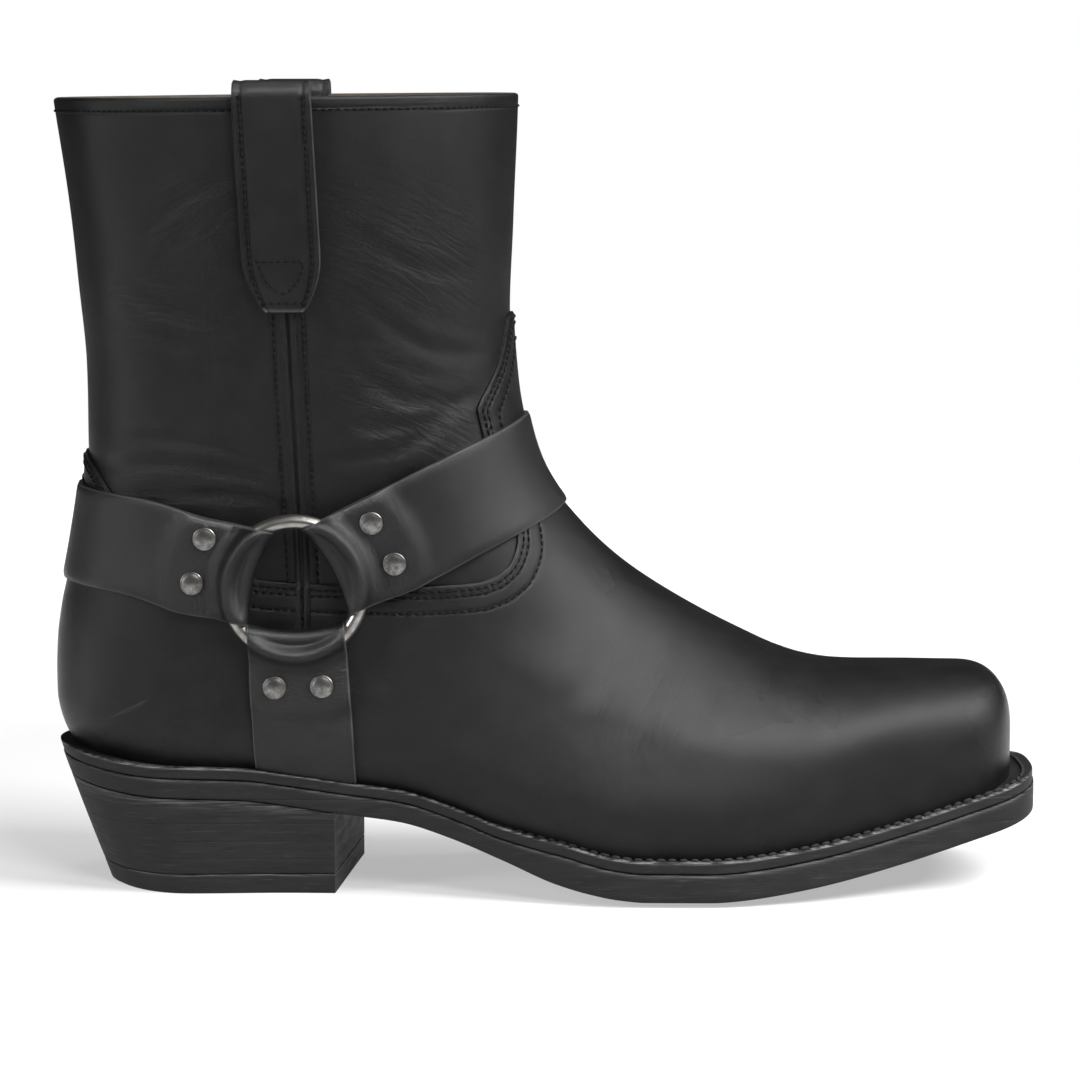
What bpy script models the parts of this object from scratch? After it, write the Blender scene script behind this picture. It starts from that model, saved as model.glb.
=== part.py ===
"""A harness boot for the right foot, in black leather with metal rings.

Everything is in metres. X runs from heel to toe, Y from the outer (lateral) side of the foot to the
inner (medial) side, and Z is up. The origin is the middle of the heel's flat underside, on the floor.

The upper's form is drawn in side view: a crest line over toe, instep and shin, and a back line up the
heel. A point of the side view has a half width, which shrinks to nothing on either line.
"""

import math

import bmesh
import bpy
import numpy as np
from mathutils import Matrix, Vector

# Sizes of the whole boot
LENGTH = 0.3045              # sole, from the heel's back edge to the toe's front edge
HEEL_EDGE = -0.0525          # where the sole's back edge lies, seen from the middle of the heel
BALL_WIDTH = 0.105           # sole at the ball of the foot
HEEL_LIFT = 0.0294           # underside of the outsole above the floor, in the middle of the heel
TOE_SPRING = 0.0216          # how far the sole lifts off the floor at the toe
UPPER_HEIGHT = 0.1970        # collar above the sole
SHAFT_WIDTH = 0.104          # collar, from side to side
COLLAR_FRONT = 0.473         # share of the length where the collar's front edge lies
COLLAR_TILT = 0.0015         # how much higher the collar's front is than its back

# Thicknesses and clearances
WALL = 0.0024                # leather of the upper, with its lining
STRAP = 0.0021               # leather of the harness straps
PULL_STRAP = 0.0026          # folded leather of the pull straps
SOLE = 0.0138                # outsole and welt together, under the forefoot
WAIST_SOLE = 0.0096          # the same at the waist and the heel, where the edge is thinner
WAIST_END = 0.44             # share of the length where the sole begins to thicken
WAIST_BLEND = 0.09           # and the stretch in which it does
CROWN = 0.0016               # how far the forefoot's edges curve up from its flat middle
CROWN_BLEND = 0.15           # stretch of the length in which that curve sets in
FLAT_SHARE = 0.62            # share of the sole's width that is flat
WELT = 0.0034
WELT_INSET = 0.0004          # how far the welt's edge stands in from the outsole's
INSOLE = 0.0030
TOP_LIFT = 0.0060
GAP = 0.0003                 # between pieces that meet
SEAT_GAP = 0.0006            # between the welt and what stands on it
STRAP_GAP = 0.0008           # between a strap and the upper, at the corners of their facets
INSOLE_FIT = 0.0018          # between the insole and the upper

# Rounding of the plan
TOE_LEDGE = 0.0084           # welt that shows in front of the toe
TOE_ROUND = 0.016            # how far back the upper's toe corners reach
TOE_FOOT = 0.0075            # how far behind the toe's front its first section stands
SOLE_TOE_ROUND = 0.018
SOLE_HEEL_ROUND = 0.035
TUCK_HEIGHT = 0.018          # the upper is drawn in below this height above the sole
PLAN_POWER = 2.8             # squareness of the sole's toe corners

# Heel block
HEEL_RAKE = 0.36             # slope of the heel's back, forward for each unit down
HEEL_SIDE_RAKE = 0.09        # the same at its sides
BREAST = 0.0383              # middle of the heel's front face
BREAST_SKEW = 0.0031         # how much further forward that face is at the inner side

# Harness
RING_ALONG = 0.0768          # middle of a ring, forward of the heel's back edge
RING_HEIGHT = 0.0960         # and above the floor
RING_RADIUS = 0.0203         # middle of the ring's wire
RING_WIRE = 0.0044           # diameter of the wire
FRONT_PULL = 28.0            # direction of each strap at the ring, in degrees up from forward
BACK_PULL = 164.0
SIDE_PULL = -88.5
FOLD_WIDTH = 0.0250          # of a strap where it goes round the ring
FOLD_REACH = 0.0061          # inside of the fold, from the middle of the wire towards the ring's middle
FOLD_HOLLOW = 0.0024         # how much nearer the middle of the ring the fold's corners are
UNDERLAP = 0.0145            # where the folded end under a strap stops, from the ring's outer edge
LAP_END = 0.0205             # where the strap lies on the upper again, from that edge
SETTLE = 0.0026              # stretch in which a strap comes down from the wire to its folded end
SIDE_STRAP_FOOT = 0.0018     # lower end of a side strap above the sole
RIVET_OUT = 0.0077           # rivets from the ring's outer edge
RIVET_SPREAD = 0.0072        # rivets from the middle of the strap
RIVET_SEAT = 0.43            # clearance under a rivet's head, as a share of the strap's thickness
RIVET_HEAD = 0.0071
RIVET_DOME = 0.0014

# Pull straps
PULL_ALONG = 0.236           # share of the length where they cross the collar
PULL_TIP_ALONG = 0.246       # and where their lower ends are
PULL_TIP = 0.1425            # lower end of a pull strap above the sole
PULL_TAPER = 0.0100          # length of its tapered end
PULL_WIDTH = 0.0232
PULL_TIP_WIDTH = 0.0117
PULL_INSIDE = 0.0450         # how far it reaches down inside the shaft
PULL_RISE = 0.0012           # straight stretch above the collar, before it turns over

# Plan of the foot, from the heel's back edge (0) to the toe's front edge (1). Widths are shares of
# BALL_WIDTH: the sole's edge from the middle line on either side, the ledge from that edge in to the
# upper's foot, the swell of the upper above its foot, and the ridge's place towards the inner side.
PLAN = (
    # along  outer  inner  ledge  swell  ridge
    (0.00, 0.333, 0.324, 0.060, 0.050, 0.000),
    (0.12, 0.338, 0.326, 0.056, 0.056, 0.000),
    (0.25, 0.326, 0.302, 0.046, 0.062, 0.000),
    (0.36, 0.336, 0.276, 0.042, 0.062, 0.002),
    (0.48, 0.424, 0.328, 0.046, 0.048, 0.012),
    (0.58, 0.494, 0.428, 0.052, 0.034, 0.030),
    (0.66, 0.500, 0.494, 0.054, 0.028, 0.040),
    (0.76, 0.450, 0.476, 0.054, 0.022, 0.040),
    (0.86, 0.362, 0.400, 0.054, 0.016, 0.032),
    (0.94, 0.296, 0.332, 0.054, 0.010, 0.024),
    (1.00, 0.268, 0.302, 0.054, 0.010, 0.020),
)

# Underside of the outsole behind the ball. Heights are shares of HEEL_LIFT.
ARCH = (
    # along  height
    (0.000, 1.160),
    (0.115, 1.030),
    (0.195, 1.000),
    (0.245, 0.935),
    (0.297, 0.857),
    (0.353, 0.780),
    (0.402, 0.636),
    (0.458, 0.422),
    (0.509, 0.190),
    (0.543, 0.085),
    (0.572, 0.025),
    (0.598, 0.000),
    (1.000, 0.000),
)
SPRING_START = 0.666         # share of the length where the toe begins to lift
SPRING_POWER = 1.58

# Crest line, from the toe over the instep and up the shin. Heights are above the sole, as shares of
# UPPER_HEIGHT. The round is how deep the form curves away from the line, as a share of BALL_WIDTH.
CREST = (
    # along  height round
    (1.060, 0.158, 0.19),
    (0.980, 0.170, 0.19),
    (0.921, 0.189, 0.20),
    (0.875, 0.208, 0.21),
    (0.829, 0.225, 0.22),
    (0.798, 0.237, 0.24),
    (0.768, 0.253, 0.26),
    (0.737, 0.276, 0.28),
    (0.706, 0.304, 0.31),
    (0.644, 0.358, 0.35),
    (0.582, 0.418, 0.39),
    (0.551, 0.451, 0.41),
    (0.524, 0.485, 0.42),
    (0.506, 0.514, 0.42),
    (0.487, 0.562, 0.43),
    (0.475, 0.623, 0.46),
    (0.469, 0.678, 0.50),
    (0.463, 0.798, 0.55),
    (0.467, 0.931, 0.59),
    (0.472, 1.090, 0.62),
    (0.476, 1.230, 0.64),
)

# Back line, from the sole up the heel and the shaft, in the same shares.
BACK = (
    # along  height round
    (0.040, -0.045, 0.28),
    (0.0243, -0.006, 0.30),
    (0.0135, 0.018, 0.32),
    (0.0076, 0.041, 0.33),
    (0.0036, 0.073, 0.33),
    (0.0033, 0.113, 0.33),
    (0.0046, 0.161, 0.33),
    (0.0095, 0.218, 0.33),
    (0.0151, 0.258, 0.33),
    (0.0240, 0.330, 0.34),
    (0.0322, 0.410, 0.36),
    (0.0355, 0.460, 0.38),
    (0.0358, 0.520, 0.41),
    (0.0346, 0.597, 0.45),
    (0.0260, 0.737, 0.50),
    (0.0174, 0.873, 0.55),
    (0.0066, 1.000, 0.58),
    (-0.0020, 1.100, 0.60),
)

# Half width of ankle and shaft by height above the sole, as a share of SHAFT_WIDTH.
SHAFT = (
    # height half width
    (0.00, 0.346),
    (0.28, 0.346),
    (0.35, 0.351),
    (0.42, 0.365),
    (0.50, 0.387),
    (0.60, 0.415),
    (0.70, 0.442),
    (0.80, 0.466),
    (0.90, 0.486),
    (1.00, 0.500),
    (1.20, 0.520),
)

# Edges of the harness straps in side view, in shares of LENGTH from the heel's back edge and of
# UPPER_HEIGHT above the floor: beside the rivets, half way, and at the end on the crest or back line.
FRONT_STRAP = (
    # upper edge     lower edge
    (0.314, 0.621, 0.360, 0.478),
    (0.392, 0.680, 0.441, 0.541),
    (0.474, 0.735, 0.524, 0.597),
)
BACK_STRAP = (
    # upper edge     lower edge
    (0.171, 0.592, 0.145, 0.445),
    (0.100, 0.621, 0.077, 0.474),
    (0.032, 0.628, 0.015, 0.480),
)
SIDE_STRAP = (
    # upper edge     lower edge
    (0.206, 0.338, 0.305, 0.338),
    (0.208, 0.270, 0.308, 0.270),
    (0.210, 0.200, 0.311, 0.190),
)

# The web of sections that the upper is lofted through. A section starts on the base line, which is
# 0 at the toe, 1 at the back of the heel and 2 at the collar, and ends on the crest line, 0 to 1.
WEB = (
    # base  crest  sections up to here
    (0.000, 0.000, 0),
    (0.050, 0.114, 4),
    (0.128, 0.227, 3),
    (0.396, 0.497, 6),
    (0.573, 0.580, 3),
    (0.769, 0.640, 4),
    (0.947, 0.680, 4),
    (1.000, 0.700, 3),
    (1.105, 0.733, 3),
    (1.265, 0.792, 3),
    (1.460, 0.857, 3),
    (1.720, 0.930, 3),
    (2.000, 1.000, 2),
)
HALF_SECTION = 14            # faces from the base line to the crest, on either side
STRAP_ROWS = 5               # points across a strap
RIVET_STEPS = 14             # faces round a rivet
JOIN = 0.00005               # points nearer than this are one point
SOLE_RIBS = 22               # ribs of a sole layer between its rounded ends
THINNEST = 0.0004            # least half width of a rib, at the ends of a layer


def smooth_table(rows, column):
    """A function that runs smoothly through one column of a table, without overshoot."""
    xs = np.array([row[0] for row in rows])
    ys = np.array([row[column] for row in rows])
    if xs[0] > xs[-1]:
        xs, ys = xs[::-1], ys[::-1]
    return smooth_curve(xs, ys)


def smooth_curve(xs, ys):
    """Cubic through points, flat wherever its neighbours turn, so that level rows stay level."""
    steps = np.diff(xs)
    slopes = np.diff(ys) / steps
    tangents = np.zeros(len(xs))
    tangents[0], tangents[-1] = slopes[0], slopes[-1]
    for i in range(1, len(xs) - 1):
        before, after = slopes[i - 1], slopes[i]
        if before * after > 0:
            w1 = 2 * steps[i] + steps[i - 1]
            w2 = steps[i] + 2 * steps[i - 1]
            tangents[i] = (w1 + w2) / (w1 / before + w2 / after)

    def value(x):
        x = np.clip(x, xs[0], xs[-1])
        i = np.clip(np.searchsorted(xs, x) - 1, 0, len(xs) - 2)
        h = steps[i]
        t = (x - xs[i]) / h
        rise = ys[i] * (2 * t**3 - 3 * t**2 + 1) + ys[i + 1] * (3 * t**2 - 2 * t**3)
        turn = tangents[i] * (t**3 - 2 * t**2 + t) + tangents[i + 1] * (t**3 - t**2)
        return rise + h * turn

    return value


def smooth_line(rows, count):
    """Points along a smooth line through rows of any columns, spaced evenly along it."""
    rows = np.array(rows)
    chords = np.hypot(*np.diff(rows[:, :2], axis=0).T)
    along = np.concatenate([[0], np.cumsum(chords)])
    even = np.linspace(0, along[-1], count)
    return np.stack([smooth_curve(along, rows[:, k])(even) for k in range(rows.shape[1])], axis=1)


def ease(t):
    """Smooth step from 0 to 1."""
    t = np.clip(t, 0, 1)
    return t * t * (3 - 2 * t)


def mix(a, b, t):
    """Value between a (t is 0) and b (t is 1)."""
    return a + (b - a) * t


arch_share = smooth_table(ARCH, 1)
outer_share, inner_share, ledge_share, swell_share, ridge_share = (
    smooth_table(PLAN, column) for column in range(1, 6)
)
shaft_share = smooth_table(SHAFT, 1)


def along(x):
    """Share of the length at x."""
    return (x - HEEL_EDGE) / LENGTH


def sole_bottom(x):
    """Underside of the outsole: arched behind the ball, flat under it and sprung at the toe."""
    spring = np.clip((along(x) - SPRING_START) / (1 - SPRING_START), 0, None)
    return HEEL_LIFT * arch_share(along(x)) + TOE_SPRING * spring**SPRING_POWER


def sole_top(x):
    """Upper face of the welt, where the leather stands."""
    return sole_bottom(x) + mix(WAIST_SOLE, SOLE, ease((along(x) - WAIST_END) / WAIST_BLEND))


def side_line(rows, count=90):
    """A side-view line from its table, as columns x, z and depth of rounding in metres."""
    lined = []
    for share, height, depth in rows:
        x = HEEL_EDGE + share * LENGTH
        lined.append((x, sole_top(x) + height * UPPER_HEIGHT, depth * BALL_WIDTH))
    return smooth_line(lined, count)


CREST_LINE = side_line(CREST)
BACK_LINE = side_line(BACK)
TOE_FRONT = HEEL_EDGE + LENGTH - TOE_LEDGE


def depth_from(x, z, line, inside):
    """How deep a side-view point lies behind a line, as a share of the line's rounding there."""
    start, span = line[:-1, :2], np.diff(line[:, :2], axis=0)
    point = np.stack([np.ravel(x), np.ravel(z)], axis=1)[:, None, :] - start[None]
    t = np.clip((point * span).sum(axis=2) / (span**2).sum(axis=1), 0, 1)
    away = point - t[:, :, None] * span
    distance = np.hypot(away[..., 0], away[..., 1])
    nearest = distance.argmin(axis=1)
    rows = np.arange(len(nearest))
    side = span[nearest, 0] * point[rows, nearest, 1] - span[nearest, 1] * point[rows, nearest, 0]
    depth = np.sign(side) * inside * distance[rows, nearest]
    share = t[rows, nearest]
    rounding = line[nearest, 2] * (1 - share) + line[nearest + 1, 2] * share
    return (depth / rounding).reshape(np.shape(x))


def roundness(x):
    """Power of the upper's cross sections: boxy at the toe, elliptical further back."""
    return mix(2.0, 2.6, ease((along(x) - 0.62) / 0.26))


def edge_rise(x, z):
    """0 deep inside the side view, 1 on its outline, more outside."""
    power = roundness(x)
    crest = np.clip(1 - depth_from(x, z, CREST_LINE, 1), 0, None)
    back = np.clip(1 - depth_from(x, z, BACK_LINE, -1), 0, None)
    front = np.clip(1 - (TOE_FRONT - x) / TOE_ROUND, 0, None)
    return crest**power + back**power + front**power


def half_widths(x, z):
    """Largest half widths of the upper on the outer and inner side, from the ridge line."""
    height = (z - sole_top(x)) / UPPER_HEIGHT
    tuck = (1 - np.clip((z - sole_top(x)) / TUCK_HEIGHT, 0, 1))**2
    shaft = shaft_share(np.clip(height, 0, 1.2)) * SHAFT_WIDTH
    ridge = ridge_line(x, z)
    widths = []
    for share, sign in ((outer_share, 1), (inner_share, -1)):
        plan = share(along(x)) - ledge_share(along(x)) + swell_share(along(x)) * (1 - tuck)
        foot = plan * BALL_WIDTH
        foot = foot - ease((height - 0.03) / 0.32) * np.clip(foot - shaft, 0, None)
        widths.append(mix(foot, shaft, ease((height - 0.25) / 0.25)) + sign * ridge)
    return widths


def ridge_line(x, z):
    """Y of the middle of the upper's cross section, which moves to the inner side at the toe."""
    height = (z - sole_top(x)) / UPPER_HEIGHT
    return ridge_share(along(x)) * BALL_WIDTH * (1 - ease((height - 0.45) / 0.3))


def form_y(x, z, side):
    """Y of the upper's outer surface at a side-view point; side is -1 outer, +1 inner."""
    power = roundness(x)
    outer, inner = half_widths(x, z)
    width = outer if side < 0 else inner
    return ridge_line(x, z) + side * width * np.clip(1 - edge_rise(x, z), 0, None)**(1 / power)


def form_value(points):
    """Below 1 inside the upper's outer surface, 1 on it and more outside."""
    x, y, z = points[:, 0], points[:, 1], points[:, 2]
    power = roundness(x)
    outer, inner = half_widths(x, z)
    offset = y - ridge_line(x, z)
    width = np.where(offset < 0, outer, inner)
    return np.abs(offset / width)**power + edge_rise(x, z)


def outward(points):
    """Unit normals of the upper's form at points on or near it."""
    step = 0.0004
    slope = np.zeros_like(points)
    for axis in range(3):
        shift = np.zeros(3)
        shift[axis] = step
        slope[:, axis] = form_value(points + shift) - form_value(points - shift)
    return slope / np.linalg.norm(slope, axis=1)[:, None]


def resample(points, count):
    """The same line with count points, evenly spaced."""
    lengths = np.linalg.norm(np.diff(points, axis=0), axis=1)
    along_line = np.concatenate([[0], np.cumsum(lengths)])
    even = np.linspace(0, along_line[-1], count)
    return np.stack([np.interp(even, along_line, points[:, k]) for k in range(points.shape[1])], axis=1)


def reach(start, aim):
    """Where the ray from start through aim leaves the side view's outline."""
    inside, outside = 0.25, 1.6
    for _ in range(40):
        middle = (inside + outside) / 2
        x, z = start + (aim - start) * middle
        if edge_rise(np.array([x]), np.array([z]))[0] < 1:
            inside = middle
        else:
            outside = middle
    return start + (aim - start) * inside


def half_section(start, end, side, count):
    """The form's surface over the side-view line from start to end, on one side."""
    turn = np.linspace(0, math.pi, 400)
    share = (1 - np.cos(turn)) / 2
    x = mix(start[0], end[0], share)
    z = mix(start[1], end[1], share)
    y = form_y(x, z, side)
    y[-1] = ridge_line(x[-1:], z[-1:])[0]
    return resample(np.stack([x, y, z], axis=1), count)


def section(start, end):
    """A whole cross section, from the outer base over the crest to the inner base."""
    outer = half_section(start, end, -1, HALF_SECTION + 1)
    inner = half_section(start, end, 1, HALF_SECTION + 1)
    return np.concatenate([outer, inner[-2::-1]])


def base_point(share):
    """Side-view point on the base line: the foot of the upper, then up the back line."""
    if share <= 1:
        x = mix(TOE_FRONT - TOE_FOOT, back_at(0)[0], share)
        return np.array([x, sole_top(x) + SEAT_GAP])
    return back_at(share - 1)


def back_at(height):
    """Point of the back line at a share of the upper's height, just above the sole at 0."""
    line = BACK_LINE
    heights = (line[:, 1] - sole_top(line[:, 0]) - SEAT_GAP) / UPPER_HEIGHT
    return np.array([np.interp(height, heights, line[:, k]) for k in (0, 1)])


def crest_guide():
    """Side-view line that the sections aim at, from the toe's foot over the crest to the collar."""
    line = CREST_LINE[:, :2]
    heights = (line[:, 1] - sole_top(line[:, 0])) / UPPER_HEIGHT
    top = line[(line[:, 0] < TOE_FRONT - TOE_ROUND) & (heights < collar_share())]
    end_x = np.interp(collar_share(), heights[len(heights) // 2:], line[len(heights) // 2:, 0])
    end_z = sole_top(end_x) + collar_share() * UPPER_HEIGHT
    foot = np.array([[TOE_FRONT, sole_top(TOE_FRONT) + SEAT_GAP]])
    corner = np.array([[TOE_FRONT, top[0, 1] - TOE_ROUND]])
    return resample(np.concatenate([foot, corner, top, [[end_x, end_z]]]), 300)


def collar_share():
    """Height of the collar at the front, as a share of UPPER_HEIGHT above the sole there."""
    front_x = HEEL_EDGE + COLLAR_FRONT * LENGTH
    return (back_at(1.0)[1] + COLLAR_TILT - sole_top(front_x)) / UPPER_HEIGHT


def collar_height(x):
    """Height of the collar's edge above the floor."""
    back = back_at(1.0)
    return back[1] + COLLAR_TILT * (x - back[0]) / (HEEL_EDGE + COLLAR_FRONT * LENGTH - back[0])


def web_sections():
    """The upper's cross sections, from the toe's foot to the collar."""
    guide = crest_guide()
    sections = []
    for before, after in zip(WEB, WEB[1:]):
        for step in range(after[2]):
            base, crest = (mix(before[k], after[k], step / after[2]) for k in (0, 1))
            sections.append(web_section(base, crest, guide))
    sections.append(web_section(WEB[-1][0], WEB[-1][1], guide))
    return sections


def web_section(base, crest, guide):
    """Cross section between a place on the base line and one on the crest line."""
    start = base_point(base)
    aim = guide[int(round(crest * (len(guide) - 1)))]
    return section(start, reach(start, aim))


def ring_middle(side):
    """Middle of a ring: clear of the upper all round, with the straps' folded ends behind it."""
    x, z = HEEL_EDGE + RING_ALONG, RING_HEIGHT
    turn = np.linspace(0, 2 * math.pi, 24)
    rim = RING_RADIUS + RING_WIRE / 2
    widest = np.abs(form_y(x + rim * np.cos(turn), z + rim * np.sin(turn), side)).max()
    return np.array([x, side * (widest + STRAP_GAP + STRAP + GAP + RING_WIRE / 2), z])


def raised(line, side, height):
    """Side-view points laid on the form on one side and lifted off it by a height each."""
    x, z = line[:, 0], line[:, 1]
    surface = np.stack([x, form_y(x, z, side), z], axis=1)
    return surface + outward(surface) * np.reshape(height, (-1, 1))


def table_point(row, upper):
    """Side-view point of a strap's edge from its table, at a share from the lower to the upper edge."""
    upper_x, upper_z, lower_x, lower_z = row
    x = HEEL_EDGE + LENGTH * mix(lower_x, upper_x, upper)
    return np.array([x, UPPER_HEIGHT * mix(lower_z, upper_z, upper)])


def strap_axes(pull):
    """Side-view directions along a strap at the ring, and from its lower edge to its upper edge."""
    ahead = np.array([math.cos(math.radians(pull)), math.sin(math.radians(pull))])
    up = np.array([-ahead[1], ahead[0]])
    return (ahead, up) if ahead[0] > 0.5 else (ahead, -up)


def strap_path(edges, pull, across, to_outline):
    """Side-view line of one row of a strap, from its fold at the ring to its end."""
    middle = np.array([HEEL_EDGE + RING_ALONG, RING_HEIGHT])
    ahead, up = strap_axes(pull)
    fold = middle + ahead * (RING_RADIUS - FOLD_REACH - FOLD_HOLLOW * across**2) + up * across * FOLD_WIDTH / 2
    beside, half_way, end = (table_point(row, (1 + across) / 2) for row in edges)
    if to_outline:
        end = reach(half_way, end)
    else:
        end[1] = sole_top(end[0]) + SIDE_STRAP_FOOT
    knots = np.array([fold, beside, half_way, end])
    chords = np.hypot(*np.diff(knots, axis=0).T)
    share = np.concatenate([[0], np.cumsum(chords)])
    even = share[-1] * np.sin(np.linspace(0, math.pi / 2, 400))
    return np.stack([smooth_curve(share, knots[:, k])(even) for k in (0, 1)], axis=1)


def strap_row(edges, pull, across, side, to_outline, count):
    """One row of a strap's inner face: folded end, turn round the wire, then along the upper."""
    middle = ring_middle(side)
    path = strap_path(edges, pull, across, to_outline)
    out = np.hypot(path[:, 0] - middle[0], path[:, 1] - middle[2])
    rim = RING_RADIUS + RING_WIRE / 2
    wire_end = rim + GAP
    bore = RING_WIRE / 2 + GAP
    level = side * np.array([0, 1, 0])

    settle = ease((out - wire_end) / SETTLE)[:, None]
    lap = STRAP_GAP + (STRAP + GAP) * (1 - ease((out - rim - UNDERLAP) / (LAP_END - UNDERLAP)))
    above_ring = np.stack([path[:, 0], np.full(len(path), middle[1]), path[:, 1]], axis=1)
    outer = mix(above_ring + level * bore, raised(path, side, lap), settle)
    under = mix(above_ring - level * bore, raised(path, side, STRAP_GAP + STRAP), settle)

    nose = out[0] + bore
    near = [nose, RING_RADIUS + GAP, wire_end + GAP, wire_end + SETTLE + GAP, rim + RIVET_OUT + 0.001,
            rim + mix(RIVET_OUT, UNDERLAP, 0.5), rim + UNDERLAP + GAP]
    close = np.stack([np.interp(near, out, outer[:, k]) for k in range(3)], axis=1)
    outer_line = np.concatenate([close, resample(outer[out > rim + LAP_END], count)])
    far = [rim + UNDERLAP, rim + RIVET_OUT, wire_end + SETTLE + GAP, wire_end + GAP, nose]
    under_line = np.stack([np.interp(far, out, under[:, k]) for k in range(3)], axis=1)
    ahead = path[12] - path[0]
    ahead = ahead / np.hypot(*ahead)
    turns = []
    for angle in (-45, 0, 45):
        back = bore * (1 - math.cos(math.radians(angle)))
        x, z = path[0] + ahead * back
        turns.append((x, middle[1] + side * bore * math.sin(math.radians(angle)), z))
    return np.concatenate([under_line, turns, outer_line])


def strap_grid(edges, pull, sides, to_outline, count):
    """Rows across a strap, which runs from ring to ring where it has two sides."""
    grid = []
    for across in np.linspace(-1, 1, STRAP_ROWS):
        row = strap_row(edges, pull, across, sides[0], to_outline, count)
        if len(sides) > 1:
            other = strap_row(edges, pull, across, sides[1], to_outline, count)
            row = np.concatenate([row, other[-2::-1]])
        grid.append(row)
    return grid


def pull_strap_line(heights, across, tip, collar):
    """Side-view points of one row of a pull strap, which leans a little and tapers at its tip."""
    half = mix(PULL_TIP_WIDTH, PULL_WIDTH, np.clip((heights - tip) / PULL_TAPER, 0, 1)) / 2
    up = np.clip((heights - tip) / (collar - tip), 0, 1)
    middle = HEEL_EDGE + LENGTH * mix(PULL_TIP_ALONG, PULL_ALONG, up)
    return np.stack([middle + across * half, heights], axis=1)


def pull_strap_grid(side):
    """Rows of a pull strap's inner face, from its outside tip over the collar and down inside."""
    top_x = HEEL_EDGE + PULL_ALONG * LENGTH
    tip = sole_top(top_x) + PULL_TIP
    collar = collar_height(top_x)
    full = tip + PULL_TAPER
    outside_heights = np.concatenate([[tip, (tip + full) / 2], np.linspace(full, collar, 8)])
    inside_heights = np.linspace(collar, collar - PULL_INSIDE, 5)
    grid = []
    for across in np.linspace(-1, 1, STRAP_ROWS):
        outer = raised(pull_strap_line(outside_heights, across, tip, collar), side, STRAP_GAP)
        inner = raised(pull_strap_line(inside_heights, across, tip, collar), side, -WALL - STRAP_GAP)
        middle = (outer[-1] + inner[0]) / 2 + np.array([0, 0, PULL_RISE])
        radius = (WALL + 2 * STRAP_GAP) / 2
        arch = [middle + radius * np.array([0, side * math.cos(turn), math.sin(turn)])
                for turn in np.linspace(0, math.pi, 7)]
        grid.append(np.concatenate([outer, arch, inner]))
    return grid


def sole_half(x, side, back, front, inset):
    """Half width of a sole layer at x, with a round heel end and a squared toe end."""
    share = outer_share(along(x)) if side < 0 else inner_share(along(x))
    toe = np.clip(1 - (front - x) / (SOLE_TOE_ROUND - inset), 0, 1)
    heel = np.clip(1 - (x - back) / (SOLE_HEEL_ROUND - inset), 0, 1)
    ends = (1 - toe**PLAN_POWER)**(1 / PLAN_POWER) * (1 - heel**2)**0.5
    return (share * BALL_WIDTH - inset) * ends


def sole_stations(back, front, middle_count):
    """Places of the ribs of a sole layer, close together where its ends turn."""
    heel = back + SOLE_HEEL_ROUND * (1 - np.cos(np.radians(np.linspace(7, 90, 8))))
    toe = front - SOLE_TOE_ROUND * (1 - np.cos(np.radians(np.linspace(90, 14, 7))))
    middle = np.linspace(heel[-1], toe[0], middle_count)
    return np.concatenate([heel, middle[1:-1], toe])


def raked(x, z, side, half, side_rake):
    """Plan point of a layer's edge at height z: the heel draws in as it goes down."""
    drop = sole_top(x) - z
    share = np.clip((x - HEEL_EDGE) / (BREAST - HEEL_EDGE), 0, 1)
    narrow = side_rake * drop * min(1, half / 0.02)
    return x + HEEL_RAKE * drop * (1 - share), side * max(half - narrow, THINNEST)


def sole_rib(x, top, bottom, back, front, inset, crown):
    """Cross rib of a sole layer, as a closed ring of six points."""
    rib = []
    for side, levels in ((-1, ("top", "edge", "flat")), (1, ("flat", "edge", "top"))):
        half = float(sole_half(x, side, back, front, inset))
        for level in levels:
            z = top(x) if level == "top" else bottom(x)
            side_rake = HEEL_SIDE_RAKE * (1 - ease((x - BREAST / 3) / (BREAST * 2 / 3)))
            px, py = raked(x, z, side, half, side_rake)
            z = top(px) if level == "top" else bottom(px)
            if level == "edge":
                z = z + crown * ease((along(x) - WAIST_END) / CROWN_BLEND)
            if level == "flat":
                py = py * FLAT_SHARE
            rib.append((px, py, float(z)))
    return rib


def heel_rib(x, top, bottom):
    """Cross rib of the heel block between two levels, as a closed ring of four points."""
    rib = []
    for side, levels in ((-1, (top, bottom)), (1, (bottom, top))):
        half = float(sole_half(x, side, HEEL_EDGE, HEEL_EDGE + LENGTH, 0))
        for level in levels:
            px, py = raked(x, level(x), side, half, HEEL_SIDE_RAKE)
            px += side * BREAST_SKEW * ease((x - HEEL_EDGE) / (BREAST - HEEL_EDGE))
            rib.append((px, py, float(level(px))))
    return rib


def clear_scene():
    """Empty the scene, so that only the boot is in it."""
    for item in list(bpy.data.objects):
        bpy.data.objects.remove(item, do_unlink=True)


def make_material(name, color, roughness, metallic):
    """A plain material."""
    material = bpy.data.materials.new(name)
    material.use_nodes = True
    shader = material.node_tree.nodes["Principled BSDF"]
    shader.inputs["Base Color"].default_value = (*color, 1.0)
    shader.inputs["Roughness"].default_value = roughness
    shader.inputs["Metallic"].default_value = metallic
    return material


def add_mesh(name, vertices, faces, material, collection):
    """One object from vertices and faces, with coincident points joined and smooth shading."""
    mesh = bpy.data.meshes.new(name)
    mesh.from_pydata([tuple(map(float, v)) for v in vertices], [], faces)
    form = bmesh.new()
    form.from_mesh(mesh)
    bmesh.ops.remove_doubles(form, verts=form.verts, dist=JOIN)
    form.to_mesh(mesh)
    form.free()
    mesh.shade_smooth()
    mesh.set_sharp_from_angle(angle=math.radians(38))
    mesh.materials.append(material)
    item = bpy.data.objects.new(name, mesh)
    collection.objects.link(item)
    return item


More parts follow.
